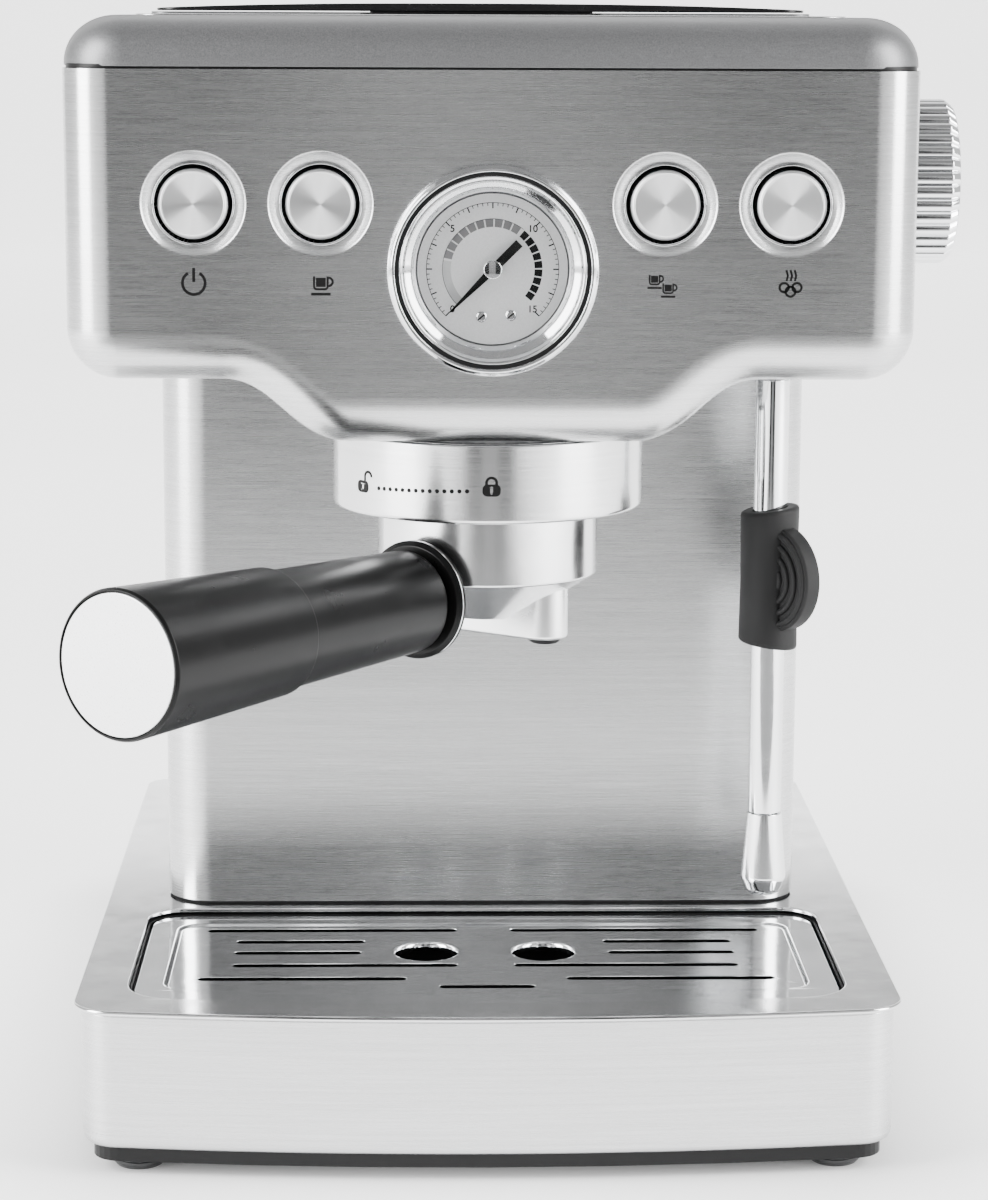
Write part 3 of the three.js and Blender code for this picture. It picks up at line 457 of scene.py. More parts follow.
def make_metals():
    return {
        "brushed": brushed("brushed_steel_sides", (45, 45, 5200), (0, 0, 1)),
        "brushed_top": brushed("brushed_steel_top", (45, 5200, 45), (0, 1, 0)),
        "collar": brushed("brushed_collar", (30, 30, 5200), (0, 0, 1), (0.78, 0.785, 0.79), (0.16, 0.26),
                          (0.93, 1.04)),
        "polished": polished("polished_steel"),
        "deck": polished("polished_deck", (0.72, 0.725, 0.73), (0.09, 0.17)),
        "bowl": polished("polished_bowl", (0.76, 0.765, 0.77), (0.14, 0.22)),
        "spout": polished("satin_spout", (0.84, 0.845, 0.85), (0.26, 0.34)),
        "silver": grained("silver_paint", (0.18, 0.182, 0.185), 0.8, (2600, 3, 0.7),
                          (0.8, 1.22), (0.34, 0.5), (0.02, 0.3)),
        "dial": grained("dial_satin", (0.6, 0.605, 0.61), 0.35, ((1800, 60, 1800), 3, 0.6), (0.93, 1.06),
                        (0.36, 0.48), (0.003, 0.2)),
        "casting": grained("cast_aluminium", (0.46, 0.465, 0.47), 0.95, (700, 5, 0.7),
                           (0.85, 1.15), (0.42, 0.6), (0.08, 0.5)),
        "brass": grained("turned_brass", (0.6, 0.45, 0.2), 1.0, (2500, 3, 0.6), (0.85, 1.1),
                         (0.24, 0.38), (0.01, 0.3)),
        "cap": grained("satin_end_cap", (0.86, 0.865, 0.87), 0.55, (3000, 3, 0.6), (0.96, 1.03),
                       (0.26, 0.36), (0.004, 0.2)),
    }


def make_plastics():
    """Plastic, rubber, print and paper. A lower specular level keeps the blacks black."""
    ink = (0.003, 0.003, 0.003)
    return {
        "black": moulded("satin_black_plastic", (0.006, 0.006, 0.0062), (0.34, 0.46), Specular_IOR_Level=0.2),
        "handle": moulded("handle_plastic", (0.003, 0.003, 0.0031), (0.26, 0.34), 3400, 0.004,
                          Specular_IOR_Level=0.13),
        "rubber": moulded("grained_rubber", (0.008, 0.008, 0.0082), (0.55, 0.7), 2000, 0.03,
                          Specular_IOR_Level=0.25),
        "clear_rubber": moulded("smoked_rubber", (0.03, 0.031, 0.032), (0.25, 0.4), 1500, 0.01,
                                Transmission_Weight=0.2),
        "lid": moulded("tinted_lid", (0.006, 0.006, 0.0064), (0.22, 0.3), 3000, 0.005,
                       Specular_IOR_Level=0.3),
        "ink": moulded("black_print", ink, (0.45, 0.6), 4000, 0.002, Specular_IOR_Level=0.15),
        "needle": moulded("needle_black", ink, (0.4, 0.5), 4000, 0.002, Specular_IOR_Level=0.15),
        "grey_ink": moulded("grey_print", (0.1, 0.1, 0.103), (0.45, 0.6), 4000, 0.002),
        "pale_ink": moulded("pale_print", (0.33, 0.333, 0.336), (0.45, 0.6), 4000, 0.002),
        "silicone": moulded("milky_silicone", (0.78, 0.77, 0.74), (0.35, 0.5), 900, 0.01),
        "board": moulded("solder_mask", (0.03, 0.13, 0.07), (0.3, 0.45), 700, 0.01),
        "tank": moulded("smoke_tank", (0.52, 0.55, 0.58), (0.06, 0.14), 300, 0.01, Transmission_Weight=0.85,
                        IOR=1.49),
        "grey_card": moulded("grey_card", (0.24, 0.24, 0.24), (0.8, 0.95), 200, 0.05),
        "dark_card": moulded("dark_card", (0.08, 0.08, 0.08), (0.8, 0.95), 200, 0.05),
    }


def make_glass():
    glass = Surface("gauge_glass", (1, 1, 1), 0.015, 0.0, Transmission_Weight=1.0, IOR=1.12)
    return glass.vary("Roughness", glass.noise(30, 3), 0.0, 0.02).material


MAT = {**make_metals(), **make_plastics(), "glass": make_glass()}

CAD_LOOKS = {
    "black": ["base_chassis", "drip_tray", "tank_well", "tank_valve", "head_floor"],
    "silver": ["back_cover"],
    "brushed": ["bayonet_ring", "pump_piston"],
    "polished": ["filter_basket", "shower_screen", "wand_ball"],
    "casting": ["brew_head", "boiler", "pump_body"],
    "rubber": ["group_gasket", "cord_gland"],
    "brass": ["valve_stem", "valve_body", "steam_pipe", "wand_pipe"],
    "silicone": ["suction_hose", "pressure_hose"],
    "board": ["switch_board", "control_board"],
    "tank": ["water_tank"],
}


def dress_cad_nodes():
    """The CAD nodes that stay: their own shape, with merged corners, eased edges and a real material."""
    for look, names in CAD_LOOKS.items():
        for name in names:
            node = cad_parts[name]
            node.data.materials.clear()
            node.data.materials.append(MAT[look])
            node.modifiers.new("weld", "WELD").merge_threshold = 1e-6
            ease = node.modifiers.new("ease", "BEVEL")
            ease.width = 0.25 * MM
            ease.segments = 2
            ease.limit_method = "ANGLE"
            ease.angle_limit = math.radians(40)
            ease.harden_normals = True


# ---- Base ----

def make_feet():
    profile = [(0, 0.5, 0), (4.2, 0.5, 0.2), (4.6, 0, 0.25), (6.5, 0, 0.6), (7.4, 1.2, 0.6), (7.4, 2.1, 0.2),
               (6.9, 2.4, 0.2), (7.4, 2.7, 0.2), (7.4, 3.9, 0.4), (0, 3.9, 0)]
    for row in ("front", "rear"):
        for side in ("left", "right"):
            node = f"foot_{row}_{side}"
            where = (middle_of(node) - ORIGIN) / MM
            place = move(where.x, where.y, 0)
            turn_piece(node + "_moulded", profile, "root", "clear_rubber", place, [node], 48)


def make_band():
    low, high = BAND_Z
    half, back, rear = BAND["half"], BAND["back"], BAND["rear"]
    steps = open_line([(1.4, high, 0), (0, high, 0.5), (0, low, 2.6), (3.4, low, 0)])
    seam, rest = DRAWER_SEAM, DRAWER_SEAM + SEAM_GAP
    lines = {
        "drawer_front": [(-half, seam, 0), *bow_corners(BAND), (half, seam, 0)],
        "base_wrap": [(half, rest, 0), (half, back, rear), (-half, back, rear), (-half, rest, 0)],
    }
    for node, corners in lines.items():
        bm = bmesh.new()
        loft(bm, stacked(open_line(corners), steps, False), False)
        body = "drip_drawer" if node == "drawer_front" else "root"
        piece(node + "_sheet", bm, body, "brushed", replaces=[node], sheet=1.0)


def make_deck():
    openings = [bowed(GRILLE, 1.2), rectangle(-90, 90, -18, 126, 5)]
    bm = shaped(slab, bowed(DECK), *DECK_Z, 0.7, openings, 0.6)
    piece("top_deck_plate", bm, "root", "deck", replaces=["top_deck"])


def slot_outlines():
    slots = [capsule(-13.7, 13.7, -102, SLOT_WIDTH)]
    for start, end, y in SLOT_ROWS:
        slots += [capsule(start, end, y, SLOT_WIDTH), capsule(-end, -start, y, SLOT_WIDTH)]
    return slots


def make_grille():
    low, high = GRILLE_Z
    floor = high - 0.7
    bm = bmesh.new()
    outer = loft(bm, stacked(bowed(GRILLE), edge_profile(low, high, 0.3, 0.6)))
    slope = [(-1.9, high), (-1.4, high - 0.08), (-0.9, high - 0.3), (-0.5, floor + 0.1), (0, floor)]
    inner = loft(bm, stacked(bowed(FIELD), slope))
    fill(bm, outer[-1], inner[0])
    holes = []
    edge = [(-0.9, low), (-0.15, floor - 0.3), (0, floor - 0.15), (-0.15, floor)]
    for outlet in slot_outlines():
        holes.append(loft(bm, stacked(outlet, edge)))
    lip = [(10.6, low), (9.9, low - 0.5), (9.7, low - 1.8), (9.3, low - 1.9), (9, low - 1.7),
           (9.05, floor - 1.2), (9.25, floor - 0.6), (9.7, floor - 0.18), (10.4, floor)]
    for x in (-FINGER_HOLE["x"], FINGER_HOLE["x"]):
        holes.append(loft(bm, [up(circle(radius, x, FINGER_HOLE["y"]), z) for radius, z in lip]))
    fill(bm, inner[-1], *[rows[-1] for rows in holes])
    fill(bm, outer[0], *[rows[0] for rows in holes])
    piece("drip_grille_plate", bm, "drip_grille", "polished", replaces=["drip_grille"])


# ---- Column ----

def make_column():
    half, face, corner = COLUMN["half"], COLUMN["front"], COLUMN["corner"]
    corners = [(-half, BACK - 2, 0), (-half, face, corner), (half, face, corner), (half, BACK - 2, 0)]
    outline = open_line(corners)
    steps = [(0.4, 49.7), (0.1, 49.8), (0, 50.0), (0, 226)]
    bm = bmesh.new()
    loft(bm, stacked(outline, steps, False), False)
    piece("column_sheet", bm, "root", "brushed", replaces=["column_skin"], sheet=1.2)
    bm = bmesh.new()
    loft(bm, stacked(outline, [(0.7, 49.05), (0.7, 50.2)], False), False)
    piece("column_gasket", bm, "root", "rubber", sheet=1.0)


# ---- Head ----

def head_outline():
    """The head's front outline, drawn in X and Z from the upper left round to the upper right."""
    half, bottom, lobe, corner, top = (HEAD[key] for key in ("half", "bottom", "lobe", "corner", "top"))
    start = open_line([(-half, top, 0), (-half, bottom, corner), (-72, bottom, 0)])
    down = bezier((-72, bottom), (-58, bottom), (-54, lobe), (-38, lobe))
    rise = bezier((38, lobe), (54, lobe), (58, bottom), (72, bottom))
    end = open_line([(72, bottom, 0), (half, bottom, corner), (half, top, 0)])
    return [*start[:-1], *down, *rise, *end[1:]]


def open_for_wand(bm):
    """Cuts the wand's round opening into the flat right side of the head's underside."""
    low = HEAD["bottom"]
    flat = [face for face in bm.faces if all(abs(v.co.z - low) < 0.01 and v.co.x > 70 for v in face.verts)]
    face = max(flat, key=lambda face: face.calc_area())
    corners = list(face.verts)
    bm.faces.remove(face)
    middle = WAND.translation
    fill(bm, corners, [bm.verts.new(p) for p in up(circle(WAND_OPENING, middle.x, middle.y), low)])


def bore(bm, x, z, steps):
    """A round hollow in the head's face, from (radius, depth) steps. Returns its outer ring."""
    return loft(bm, [front(circle(radius, x, z), HEAD["front"] + depth) for radius, depth in steps])[0]


def make_head():
    bm = bmesh.new()
    outline = head_outline()
    face = HEAD["front"]
    steps = [(0, BACK - 2), (0, face + HEAD_ROLL)]
    steps += [(HEAD_ROLL * run, face + HEAD_ROLL * rise) for run, rise in roll_steps(14)]
    rows = loft(bm, [front(inset(outline, d, False), y) for d, y in steps], False)
    open_for_wand(bm)
    holes = []
    for x in BUTTONS.values():
        holes.append(bore(bm, x, BUTTON_Z, DISH))
    holes.append(bore(bm, 0, GAUGE_Z, [(27, 0), (26.5, 0.4), (26.5, 7)]))
    fill(bm, rows[-1], *holes)
    piece("head_skin", bm, "root", "brushed", replaces=["head_shell"], sheet=1.2)
    ring = [(10.3, -2.2, 0), (10.95, -2.2, 0), (10.95, -1.25, 0.25), (10.3, -1.25, 0.25)]
    baffle = [(3.6, -10, 0), (11.4, -10, 0), (11.4, -9.4, 0), (3.6, -9.4, 0)]
    for name, x in BUTTONS.items():
        place = facing(x, BUTTON_Z)
        turn_piece(f"button_surround_{name}", ring, "root", "polished", place, closed=True)
        turn_piece(f"button_baffle_{name}", baffle, "root", "black", place, sides=64, closed=True)


def facing(x, z, y=HEAD["front"]):
    """Places a form whose axis is +Z so that it faces the user."""
    return move(x, y, z) @ rotate(90, "X")


def make_seam():
    """The dark line between the head and the top cover."""
    half, face, corner = HEAD["half"] - 0.8, HEAD["front"] + 0.8, HEAD_ROLL
    corners = [(-half, BACK - 3, 0), (-half, face, corner), (half, face, corner), (half, BACK - 3, 0)]
    bm = bmesh.new()
    loft(bm, [up(open_line(corners), z) for z in (303.6, 305.4)], False)
    piece("cover_seam", bm, "root", "black", sheet=0.8)


def rim_outline(notch):
    """The raised rim's outline, with the finger notch cut into its front edge."""
    half, near, far = RIM["half"], RIM["front"], RIM["back"]
    corners = [(half, far, 2), (-half, far, 2), (-half, near, 6), (-notch, near, 0.8), (-notch, 42, 1.5),
               (notch, 42, 1.5), (notch, near, 0.8), (half, near, 6)]
    return rounded(corners)


def make_cover():
    half, face, corner, roll = HEAD["half"], HEAD["front"], COVER["corner"], COVER["roll"]
    corners = [(-half, BACK, 0), (-half, face, corner), (half, face, corner), (half, BACK, 0)]
    plan = open_line(corners)
    top, bottom = COVER["top"], COVER["bottom"]
    steps = [(1.6, bottom), (0.5, bottom), (0.12, bottom + 0.08), (0, bottom + 0.4)]
    steps += [((roll + 1) * run, top - (roll - 0.4) * rise) for run, rise in roll_steps(16)]
    bm = bmesh.new()
    rows = loft(bm, stacked(plan, steps, False), False)
    fill(bm, [row[0] for row in rows] + [row[-1] for row in reversed(rows)])
    opening = rectangle(-87.5, 87.5, 68.5, 131.4, 7)
    well = loft(bm, stacked(opening, [(-0.8, top), (-0.8, 304)]))
    plate = rectangle(-96, 96, -112, 20, 8)
    recess = loft(bm, stacked(plate, [(-0.5, top), (0, top - 0.5), (0, top - 1.2)]))
    fill(bm, recess[-1])
    pocket = rectangle(-27, 27, 23, 41, 5)
    dip = loft(bm, stacked(pocket, [(-0.6, top), (0, top - 0.5), (2, top - 1.6)]))
    fill(bm, dip[-1])
    fill(bm, rows[-1], well[0], recess[0], dip[0])
    piece("top_cover_shell", bm, "root", "silver", replaces=["top_cover"])
    make_rim(opening)


def make_rim(opening):
    """The raised rim round the tank's opening."""
    low, high = RIM["low"], RIM["top"]
    bm = bmesh.new()
    edge = stacked(rim_outline(37.7), [(0, high - 0.15), (0.2, high)])
    outer = loft(bm, [up(rim_outline(34.4), low), *edge])
    inner = loft(bm, stacked(opening, [(0, low), (0, high - 0.3), (-0.3, high)]))
    fill(bm, outer[0], inner[0])
    fill(bm, outer[-1], inner[-1])
    piece("top_cover_rim", bm, "root", "silver")


def make_lid():
    half, near, far = LID["half"], LID["front"], LID["back"]
    bm = shaped(slab, rectangle(-half, half, near, far, 8), LID["bottom"], LID["edge"], 0.35)
    strips = 24
    for k in range(1, strips):
        geometry = [*bm.verts, *bm.edges, *bm.faces]
        cut = (-half + 2 * half * k / strips, 0, 0)
        bmesh.ops.bisect_plane(bm, geom=geometry, plane_co=cut, plane_no=(1, 0, 0))
    rise = LID["crown"] - LID["edge"]
    for vert in bm.verts:
        if vert.co.z > LID["bottom"] + 0.4:
            vert.co.z += rise * (1 - abs(vert.co.x / half) ** 2.6)
    piece("tank_lid_moulded", bm, "tank_lid", "lid", replaces=["tank_lid"])


def make_lid_pull():
    """A black tab on the lid that hangs in the rim's notch: painted shade, which stands for the dark finger
    recess under the lid's front edge.
    """
    bm = shaped(slab, rectangle(-34.6, 34.6, 32, 35, 1), 317.6, 319.3, 0.2)
    piece("tank_lid_notch_shade", bm, "tank_lid", "black")


def make_cup_plate():
    slots = [capsule(x - 12, x + 12, y, 3) for x in (-60, -20, 20, 60) for y in (-84, -46, -8)]
    bm = shaped(slab, rectangle(-95.4, 95.4, -111.4, 19.4, 7.5), 317.1, 318.3, 0.3, slots)
    piece("cup_plate_sheet", bm, "root", "brushed_top", replaces=["cup_plate"])


# ---- Brew group and portafilter ----

GROUP = move(0, GROUP_Y, 0)
FILTER = GROUP @ rotate(HANDLE_ANGLE, "Z")
HANDLE = FILTER @ move(0, 0, HANDLE_HEIGHT) @ rotate(90 - HANDLE_TILT, "Y")


def make_collar():
    radius, inside, bottom, top = COLLAR.values()
    profile = [(inside, bottom, 0.3), (radius, bottom, 1.3), (radius, top, 0.4), (inside, top, 0.3)]
    turn_piece("group_collar_turned", profile, "root", "collar", GROUP, ["group_collar"], 160, True)


def sector(bm, outer, inner, middle, sweep, z0, z1):
    """A piece of a flat ring with eased edges, its middle at an angle in degrees."""
    angles = [math.radians(middle - sweep / 2 + sweep * k / 12) for k in range(13)]
    outline = [polar(outer, a) for a in angles] + [polar(inner, a) for a in reversed(angles)]
    slab(bm, outline, z0, z1, 0.3)


def make_bowl():
    bm = bmesh.new()
    hole, throat, radius, floor, shoulder, top = BOWL.values()
    turned(bm, [(hole, floor, 0.3), (throat, floor, 1.2), (radius, shoulder, 1.0), (radius, top, 0.6),
                (28.4, top, 0.5), (28.4, 166.8, 2), (throat, 155.5, 1), (hole, 155.5, 0.3)], 144, True)
    for angle in (60, 180, 300):
        sector(bm, 37.4, 30, angle, 30, 186.5, top)
    piece("portafilter_bowl_turned", bm, "portafilter", "bowl", FILTER, ["portafilter_bowl"])
    boss = [(3.9, 29, 0), (11.5, 29, 0), (11.5, 33.6, 0.4), (3.9, 33.6, 0)]
    turn_piece("handle_boss", boss, "portafilter", "polished", HANDLE, closed=True)
    stud = [(0, 33, 0), (3.7, 33, 0), (3.7, 80, 0.5), (0, 80, 0)]
    turn_piece("handle_stud", stud, "portafilter", "polished", HANDLE, sides=32)


def make_spout():
    """The twin spout, whose top follows the bowl's cone, and its two outlets."""
    reach, low = SPOUT["reach"], SPOUT["bottom"]
    end = reach + SPOUT["radius"]
    outline = split_edges([Vector((-p.y, p.x)) for p in capsule(-end, end, 0, 2 * SPOUT["radius"])])
    bm = bmesh.new()
    rings = stacked(outline, open_line([(3, low, 0), (0, low, 1.2), (0, low + 4, 0)]))
    rings.append([Vector((p.x, p.y, max(low + 5.5, cone_height(p.length) + 1.5))) for p in outline])
    rows = loft(bm, rings)
    fill(bm, rows[0])
    fill(bm, rows[-1])
    piece("spout_body", bm, "portafilter", "spout", FILTER, ["spout"])
    nozzle = [(1.4, 145.1, 0), (3.6, 145.1, 0.5), (4.6, 145.8, 0.4), (4.6, 146.4, 0.1), (1.4, 146.4, 0)]
    for side, name in ((-1, "left"), (1, "right")):
        place = FILTER @ move(0, side * reach, 0)
        node = f"spout_nozzle_{name}"
        turn_piece(node + "_moulded", nozzle, "portafilter", "black", place, [node], 48, True)


def cone_height(radius):
    """The height of the bowl's cone at a distance from its axis."""
    throat, floor = BOWL["throat"], BOWL["floor"]
    return floor + max(0, radius - throat) * (BOWL["shoulder"] - floor) / (BOWL["radius"] - throat)


def make_handle():
    ferrule = [(4, 33.9, 0), (15.2, 33.9, 0.5), (16.3, 34.9, 0.5), (16.3, 36.3, 0.5), (15, 37.5, 0.4),
               (4, 37.5, 0)]
    neck = [(4, 37.8, 0), (12.2, 37.8, 0.3), (14.15, 40.6, 1.6), (15.7, 101.5, 0.25), (4, 101.5, 0)]
    grip = [(0, 101.8, 0), (16.3, 101.8, 0.2), (16.9, 102.5, 0.5), (19, 160.6, 0.7), (18.5, 161.4, 0.2),
            (18.1, 161.4, 0.1), (18.1, 160, 0), (0, 160, 0)]
    cap = [(0, 160.3, 0), (17.8, 160.3, 0), (17.8, 161.35, 0.3), (0, 161.35, 0)]
    for name, look, profile in (("ferrule", "handle", ferrule), ("neck", "handle", neck),
                                ("grip", "handle", grip), ("cap", "cap", cap)):
        node = f"handle_{name}"
        closed = profile[0][0] > 0
        turn_piece(node + "_turned", profile, "portafilter", look, HANDLE, [node], 144, closed)
    trim = [(15.9, 36.3, 0), (16.36, 35.9, 0.08), (16.36, 36.2, 0.08), (16, 36.55, 0.08)]
    turn_piece("handle_trim_ring", trim, "portafilter", "polished", HANDLE, (), 144, True)


# ---- Steam wand ----

WAND = move(*WAND_AXIS, 0)


def make_grip():
    """The rubber sleeve, whose ends are cut on a slant, and its half-disc thumb fin with raised arcs."""
    bm = bmesh.new()
    low, high, hole, slant = WAND_GRIP.values()
    middle = (low + high) / 2
    profile = rounded([(hole, low, 0.3), (8.4, low, 1.2), (8.1, 160, 8), (8.4, high, 1.2), (hole, high, 0.3)])
    rings = []
    for step in [*profile, profile[0]]:
        lean = slant * (step.y - middle) / (high - middle)
        rings.append([(p.x, p.y, step.y + lean * p.x) for p in circle(step.x, sides=72)])
    loft(bm, rings)
    radius, depth = FIN["radius"], FIN["thickness"]
    stand = rotate(FIN["angle"], "Z") @ move(FIN["offset"], FIN["face"] + depth, FIN["z"]) @ rotate(90, "X")
    arc = [(*polar(radius, math.radians(-84 + 7 * k)), 0) for k in range(25)]
    half_disc = rounded([(0, -radius, 0.5), *arc, (0, radius, 0.5)])
    fin = bmesh.new()
    slab(fin, half_disc, 0, depth, 0.9)
    for arc_radius in (3.6, 6.8, 10, 13.2):
        ridge(fin, arc_radius, depth)
    bmesh.ops.transform(fin, matrix=stand, verts=fin.verts)
    spare = bpy.data.meshes.new("spare")
    fin.to_mesh(spare)
    fin.free()
    bm.from_mesh(spare)
    bpy.data.meshes.remove(spare)
    piece("wand_grip_moulded", bm, "steam_wand", "rubber", WAND, ["wand_grip"])


def ridge(bm, radius, z):
    """A raised half ring on the fin's face."""
    rings = []
    steps = 28
    for k in range(steps + 1):
        angle = math.radians(-86 + 172 * k / steps)
        rings.append([(*polar(radius + p.x, angle), z + 0.05 + p.y) for p in circle(0.95, sides=12)])
    rows = loft(bm, rings)
    fill(bm, rows[0])
    fill(bm, rows[-1])


def make_wand():
    socket = [(0, 231.8, 0), (2.4, 231.6, 0), (7.1, 225.1, 0), (11.4, 225.1, 0.5), (11.4, 230.6, 0.5),
              (7.7, 230.6, 0.3), (7.7, 242, 0.3), (0, 242, 0)]
    tube = [(0, 79.5, 0), (3.2, 79.5, 0), (3.2, 92, 0), (TUBE, 92, 0.2), (TUBE, 217.4, 0.5), (4, 218.6, 0.3),
            (0, 218.6, 0)]
    frother = [(1.6, 76, 0), (1.6, 67.2, 0.3), (4.6, 67.2, 3.4), (6.6, 72.5, 3), (4.95, 91.7, 0.3),
               (3.5, 91.7, 0), (3.5, 76, 0)]
    turn_piece("wand_socket_turned", socket, "root", "polished", WAND, ["wand_socket"])
    turn_piece("wand_tube_drawn", tube, "steam_wand", "polished", WAND, ["wand_tube"])
    turn_piece("frother_sleeve_turned", frother, "steam_wand", "polished", WAND, ["frother_sleeve"],
               closed=True)
    make_grip()


# ---- Steam knob ----

def make_knob():
    """A fluted cylinder with a domed end."""
    flutes, radius = KNOB["flutes"], KNOB["radius"]
    sides = flutes * 10
    profile = open_line([(0, 115, 0), (radius - 0.6, 115, 0.3), (radius, 115.8, 0.4), (radius, 128, 0.8),
                         (21.2, 130.3, 1.2), (18, 131, 1.4), (0, 131, 0)])
    rings = []
    for step in profile:
        fade = min(1, max(0, (step.x - 19) / 3))
        ring = []
        for k in range(sides):
            angle = 2 * math.pi * k / sides
            wave = abs(math.sin(angle * flutes / 2)) ** 0.55
            ring.append((*polar(step.x - 1.5 * fade * (1 - wave), angle), step.y))
        rings.append(ring)
    bm = bmesh.new()
    loft(bm, rings)
    place = move(0, KNOB["y"], KNOB["z"]) @ rotate(90, "Y")
    piece("steam_knob_turned", bm, "steam_knob", "polished", place, ["steam_knob"], sharp=70)


# ---- Gauge ----

DIAL_FACE = HEAD["front"] + 3.3
NEEDLE_ZERO = 225
DIAL_SWEEP = 270


def make_gauge():
    place = facing(0, GAUGE_Z)
    housing = [(0, -22, 0), (26.2, -22, 0.5), (26.2, 0.3, 0), (27.9, 0.3, 0.3), (27.9, 2.6, 1.1),
               (26.7, 3.9, 0.6), (25.9, 3.9, 0.25), (25.85, 2.4, 0), (24.75, 2.4, 0), (24.7, 3.5, 0.2),
               (23.9, 3.1, 0.4), (23.3, 1.8, 0.2), (23.3, 0.2, 0), (24.6, 0.2, 0), (24.6, -4.6, 0),
               (0, -4.6, 0)]
    turn_piece("gauge_bezel", housing, "root", "polished", place, ["gauge_housing"], 160)
    line = [(24.8, 2.3, 0), (25.85, 2.3, 0), (25.85, 3.2, 0.15), (24.8, 3.2, 0.15)]
    turn_piece("gauge_bezel_line", line, "root", "black", place, (), 160, True)
    reflector = [(20.1, -4.2, 0), (24, -4.2, 0), (24, -0.2, 0), (23.4, -0.2, 0.15), (21.6, -1.6, 3),
                 (20.1, -3.35, 0)]
    turn_piece("gauge_inner_ring", reflector, "root", "polished", place, (), 160, True)
    dial = [(0, -4.2, 0), (20, -4.2, 0), (20, -3.3, 0.1), (0, -3.3, 0)]
    turn_piece("gauge_dial_plate", dial, "root", "dial", place, ["gauge_dial"], 160)
    lens = [(0, 0.5, 0), (23.2, 0.5, 0.1), (23.2, 1.3, 0.2), (0, 1.5, 0)]
    turn_piece("gauge_lens_disc", lens, "root", "glass", place, ["gauge_lens"], 128)
    make_needle()
    make_dial_print()
    make_dial_screws()


def make_needle():
    tip = rounded([(15.9, 0.2, 0), (2, 1.0, 0), (-2, 1.15, 0), (-9.9, 1.2, 0.1), (-9.9, -1.2, 0.1),
                   (-2, -1.15, 0), (2, -1.0, 0), (15.9, -0.2, 0)])
    bm = shaped(slab, tip, -1.9, -1.3, 0.08)
    place = facing(0, GAUGE_Z) @ rotate(NEEDLE_ZERO, "Z")
    piece("gauge_needle_blade", bm, "gauge_needle", "needle", place, ["gauge_needle"])
    hub = [(0, -2.7, 0), (1.4, -2.7, 0), (1.4, -2, 0), (2.5, -2, 0.1), (2.5, -0.9, 0.3), (0, -0.9, 0)]
    turn_piece("gauge_needle_hub", hub, "gauge_needle", "polished", facing(0, GAUGE_Z), sides=64)


# ---- Printed marks: thin raised shapes, each an outline with any holes ----

def ring_arc(outer, inner, start, end, x=0.0, y=0.0):
    """Part of a flat ring between two angles in degrees."""
    steps = max(2, round(abs(end - start) / 4))
    angles = [math.radians(start + (end - start) * k / steps) for k in range(steps + 1)]
    points = [polar(outer, a) for a in angles] + [polar(inner, a) for a in reversed(angles)]
    return [Vector((x, y)) + point for point in points]


def stroke(x0, y0, x1, y1, width):
    start, end = Vector((x0, y0)), Vector((x1, y1))
    side = (end - start).orthogonal().normalized() * width / 2
    return [start + side, start - side, end - side, end + side]


def print_marks(name, shapes, surface, look, thickness=0.06):
    """Raises shapes from a surface, a function from (x, y, height) to a point."""
    bm = bmesh.new()
    for outline, *holes in shapes:
        loops = [outline, *holes]
        rows = [loft(bm, [[surface(p.x, p.y, h) for p in loop] for h in (0.0, thickness)]) for loop in loops]
        for level in (0, 1):
            fill(bm, *[row[level] for row in rows])
    piece(name, bm, "root", look, sharp=30)


def on_panel(x, y, height):
    return Vector((x, HEAD["front"] - PRINT_GAP - height, y))


def on_dial(x, y, height):
    return Vector((x, DIAL_FACE - PRINT_GAP - height, GAUGE_Z + y))


def on_collar(x, y, height):
    """x runs round the collar from its front, y is the height above the worktop."""
    reach = COLLAR["radius"] + PRINT_GAP + height
    turn = x / COLLAR["radius"]
    return Vector((reach * math.sin(turn), GROUP_Y - reach * math.cos(turn), y))


def cup_shapes(x, z, size):
    """A glass cup with its coffee and handle, on a saucer."""
    half, height = 1.8 * size, 3.2 * size
    low, high = z - height / 2, z + height / 2
    corner = 0.9 * size
    wall = open_line([(x - half, high, 0), (x - half, low, corner), (x + half, low, corner),
                      (x + half, high, 0)])
    inner = list(reversed(inset(wall, 0.5 * size, False)))
    coffee = rectangle(x - half * 0.62, x + half * 0.62, low + 0.8 * size, high - 0.3 * size, 0.1)
    handle = ring_arc(1.2 * size, 0.68 * size, -88, 88, x + half - 0.05, z + 0.35 * size)
    saucer = rectangle(x - half * 1.25, x + half * 1.25, low - 1.15 * size, low - 0.55 * size)
    return [[wall + inner], [coffee], [handle], [saucer]]


def make_icons():
    x, z = BUTTONS["power"], ICON_Z
    marks = [[ring_arc(3.35, 2.6, 120, 420, x, z)], [stroke(x, z + 0.3, x, z + 4, 0.75)]]
    marks += cup_shapes(BUTTONS["one_cup"], z, 1.15)
    marks += cup_shapes(BUTTONS["two_cup"] - 2.6, z + 1.1, 0.85)
    marks += cup_shapes(BUTTONS["two_cup"] + 1.0, z - 1.2, 0.85)
    x = BUTTONS["steam"]
    for shift in (-1.1, 0, 1.1):
        marks.append([stroke(x + shift, z + 0.9, x + shift + 0.35, z + 2.4, 0.55)])
        marks.append([stroke(x + shift + 0.35, z + 2.3, x + shift - 0.1, z + 3.8, 0.55)])
    for shift, drop, radius in ((-1.7, 0.8, 1.5), (1.7, 0.8, 1.5), (0, 1.9, 1.6)):
        marks.append([circle(size, x + shift, z - drop, 32) for size in (radius, radius - 0.6)])
    print_marks("panel_icons", marks, on_panel, "ink")


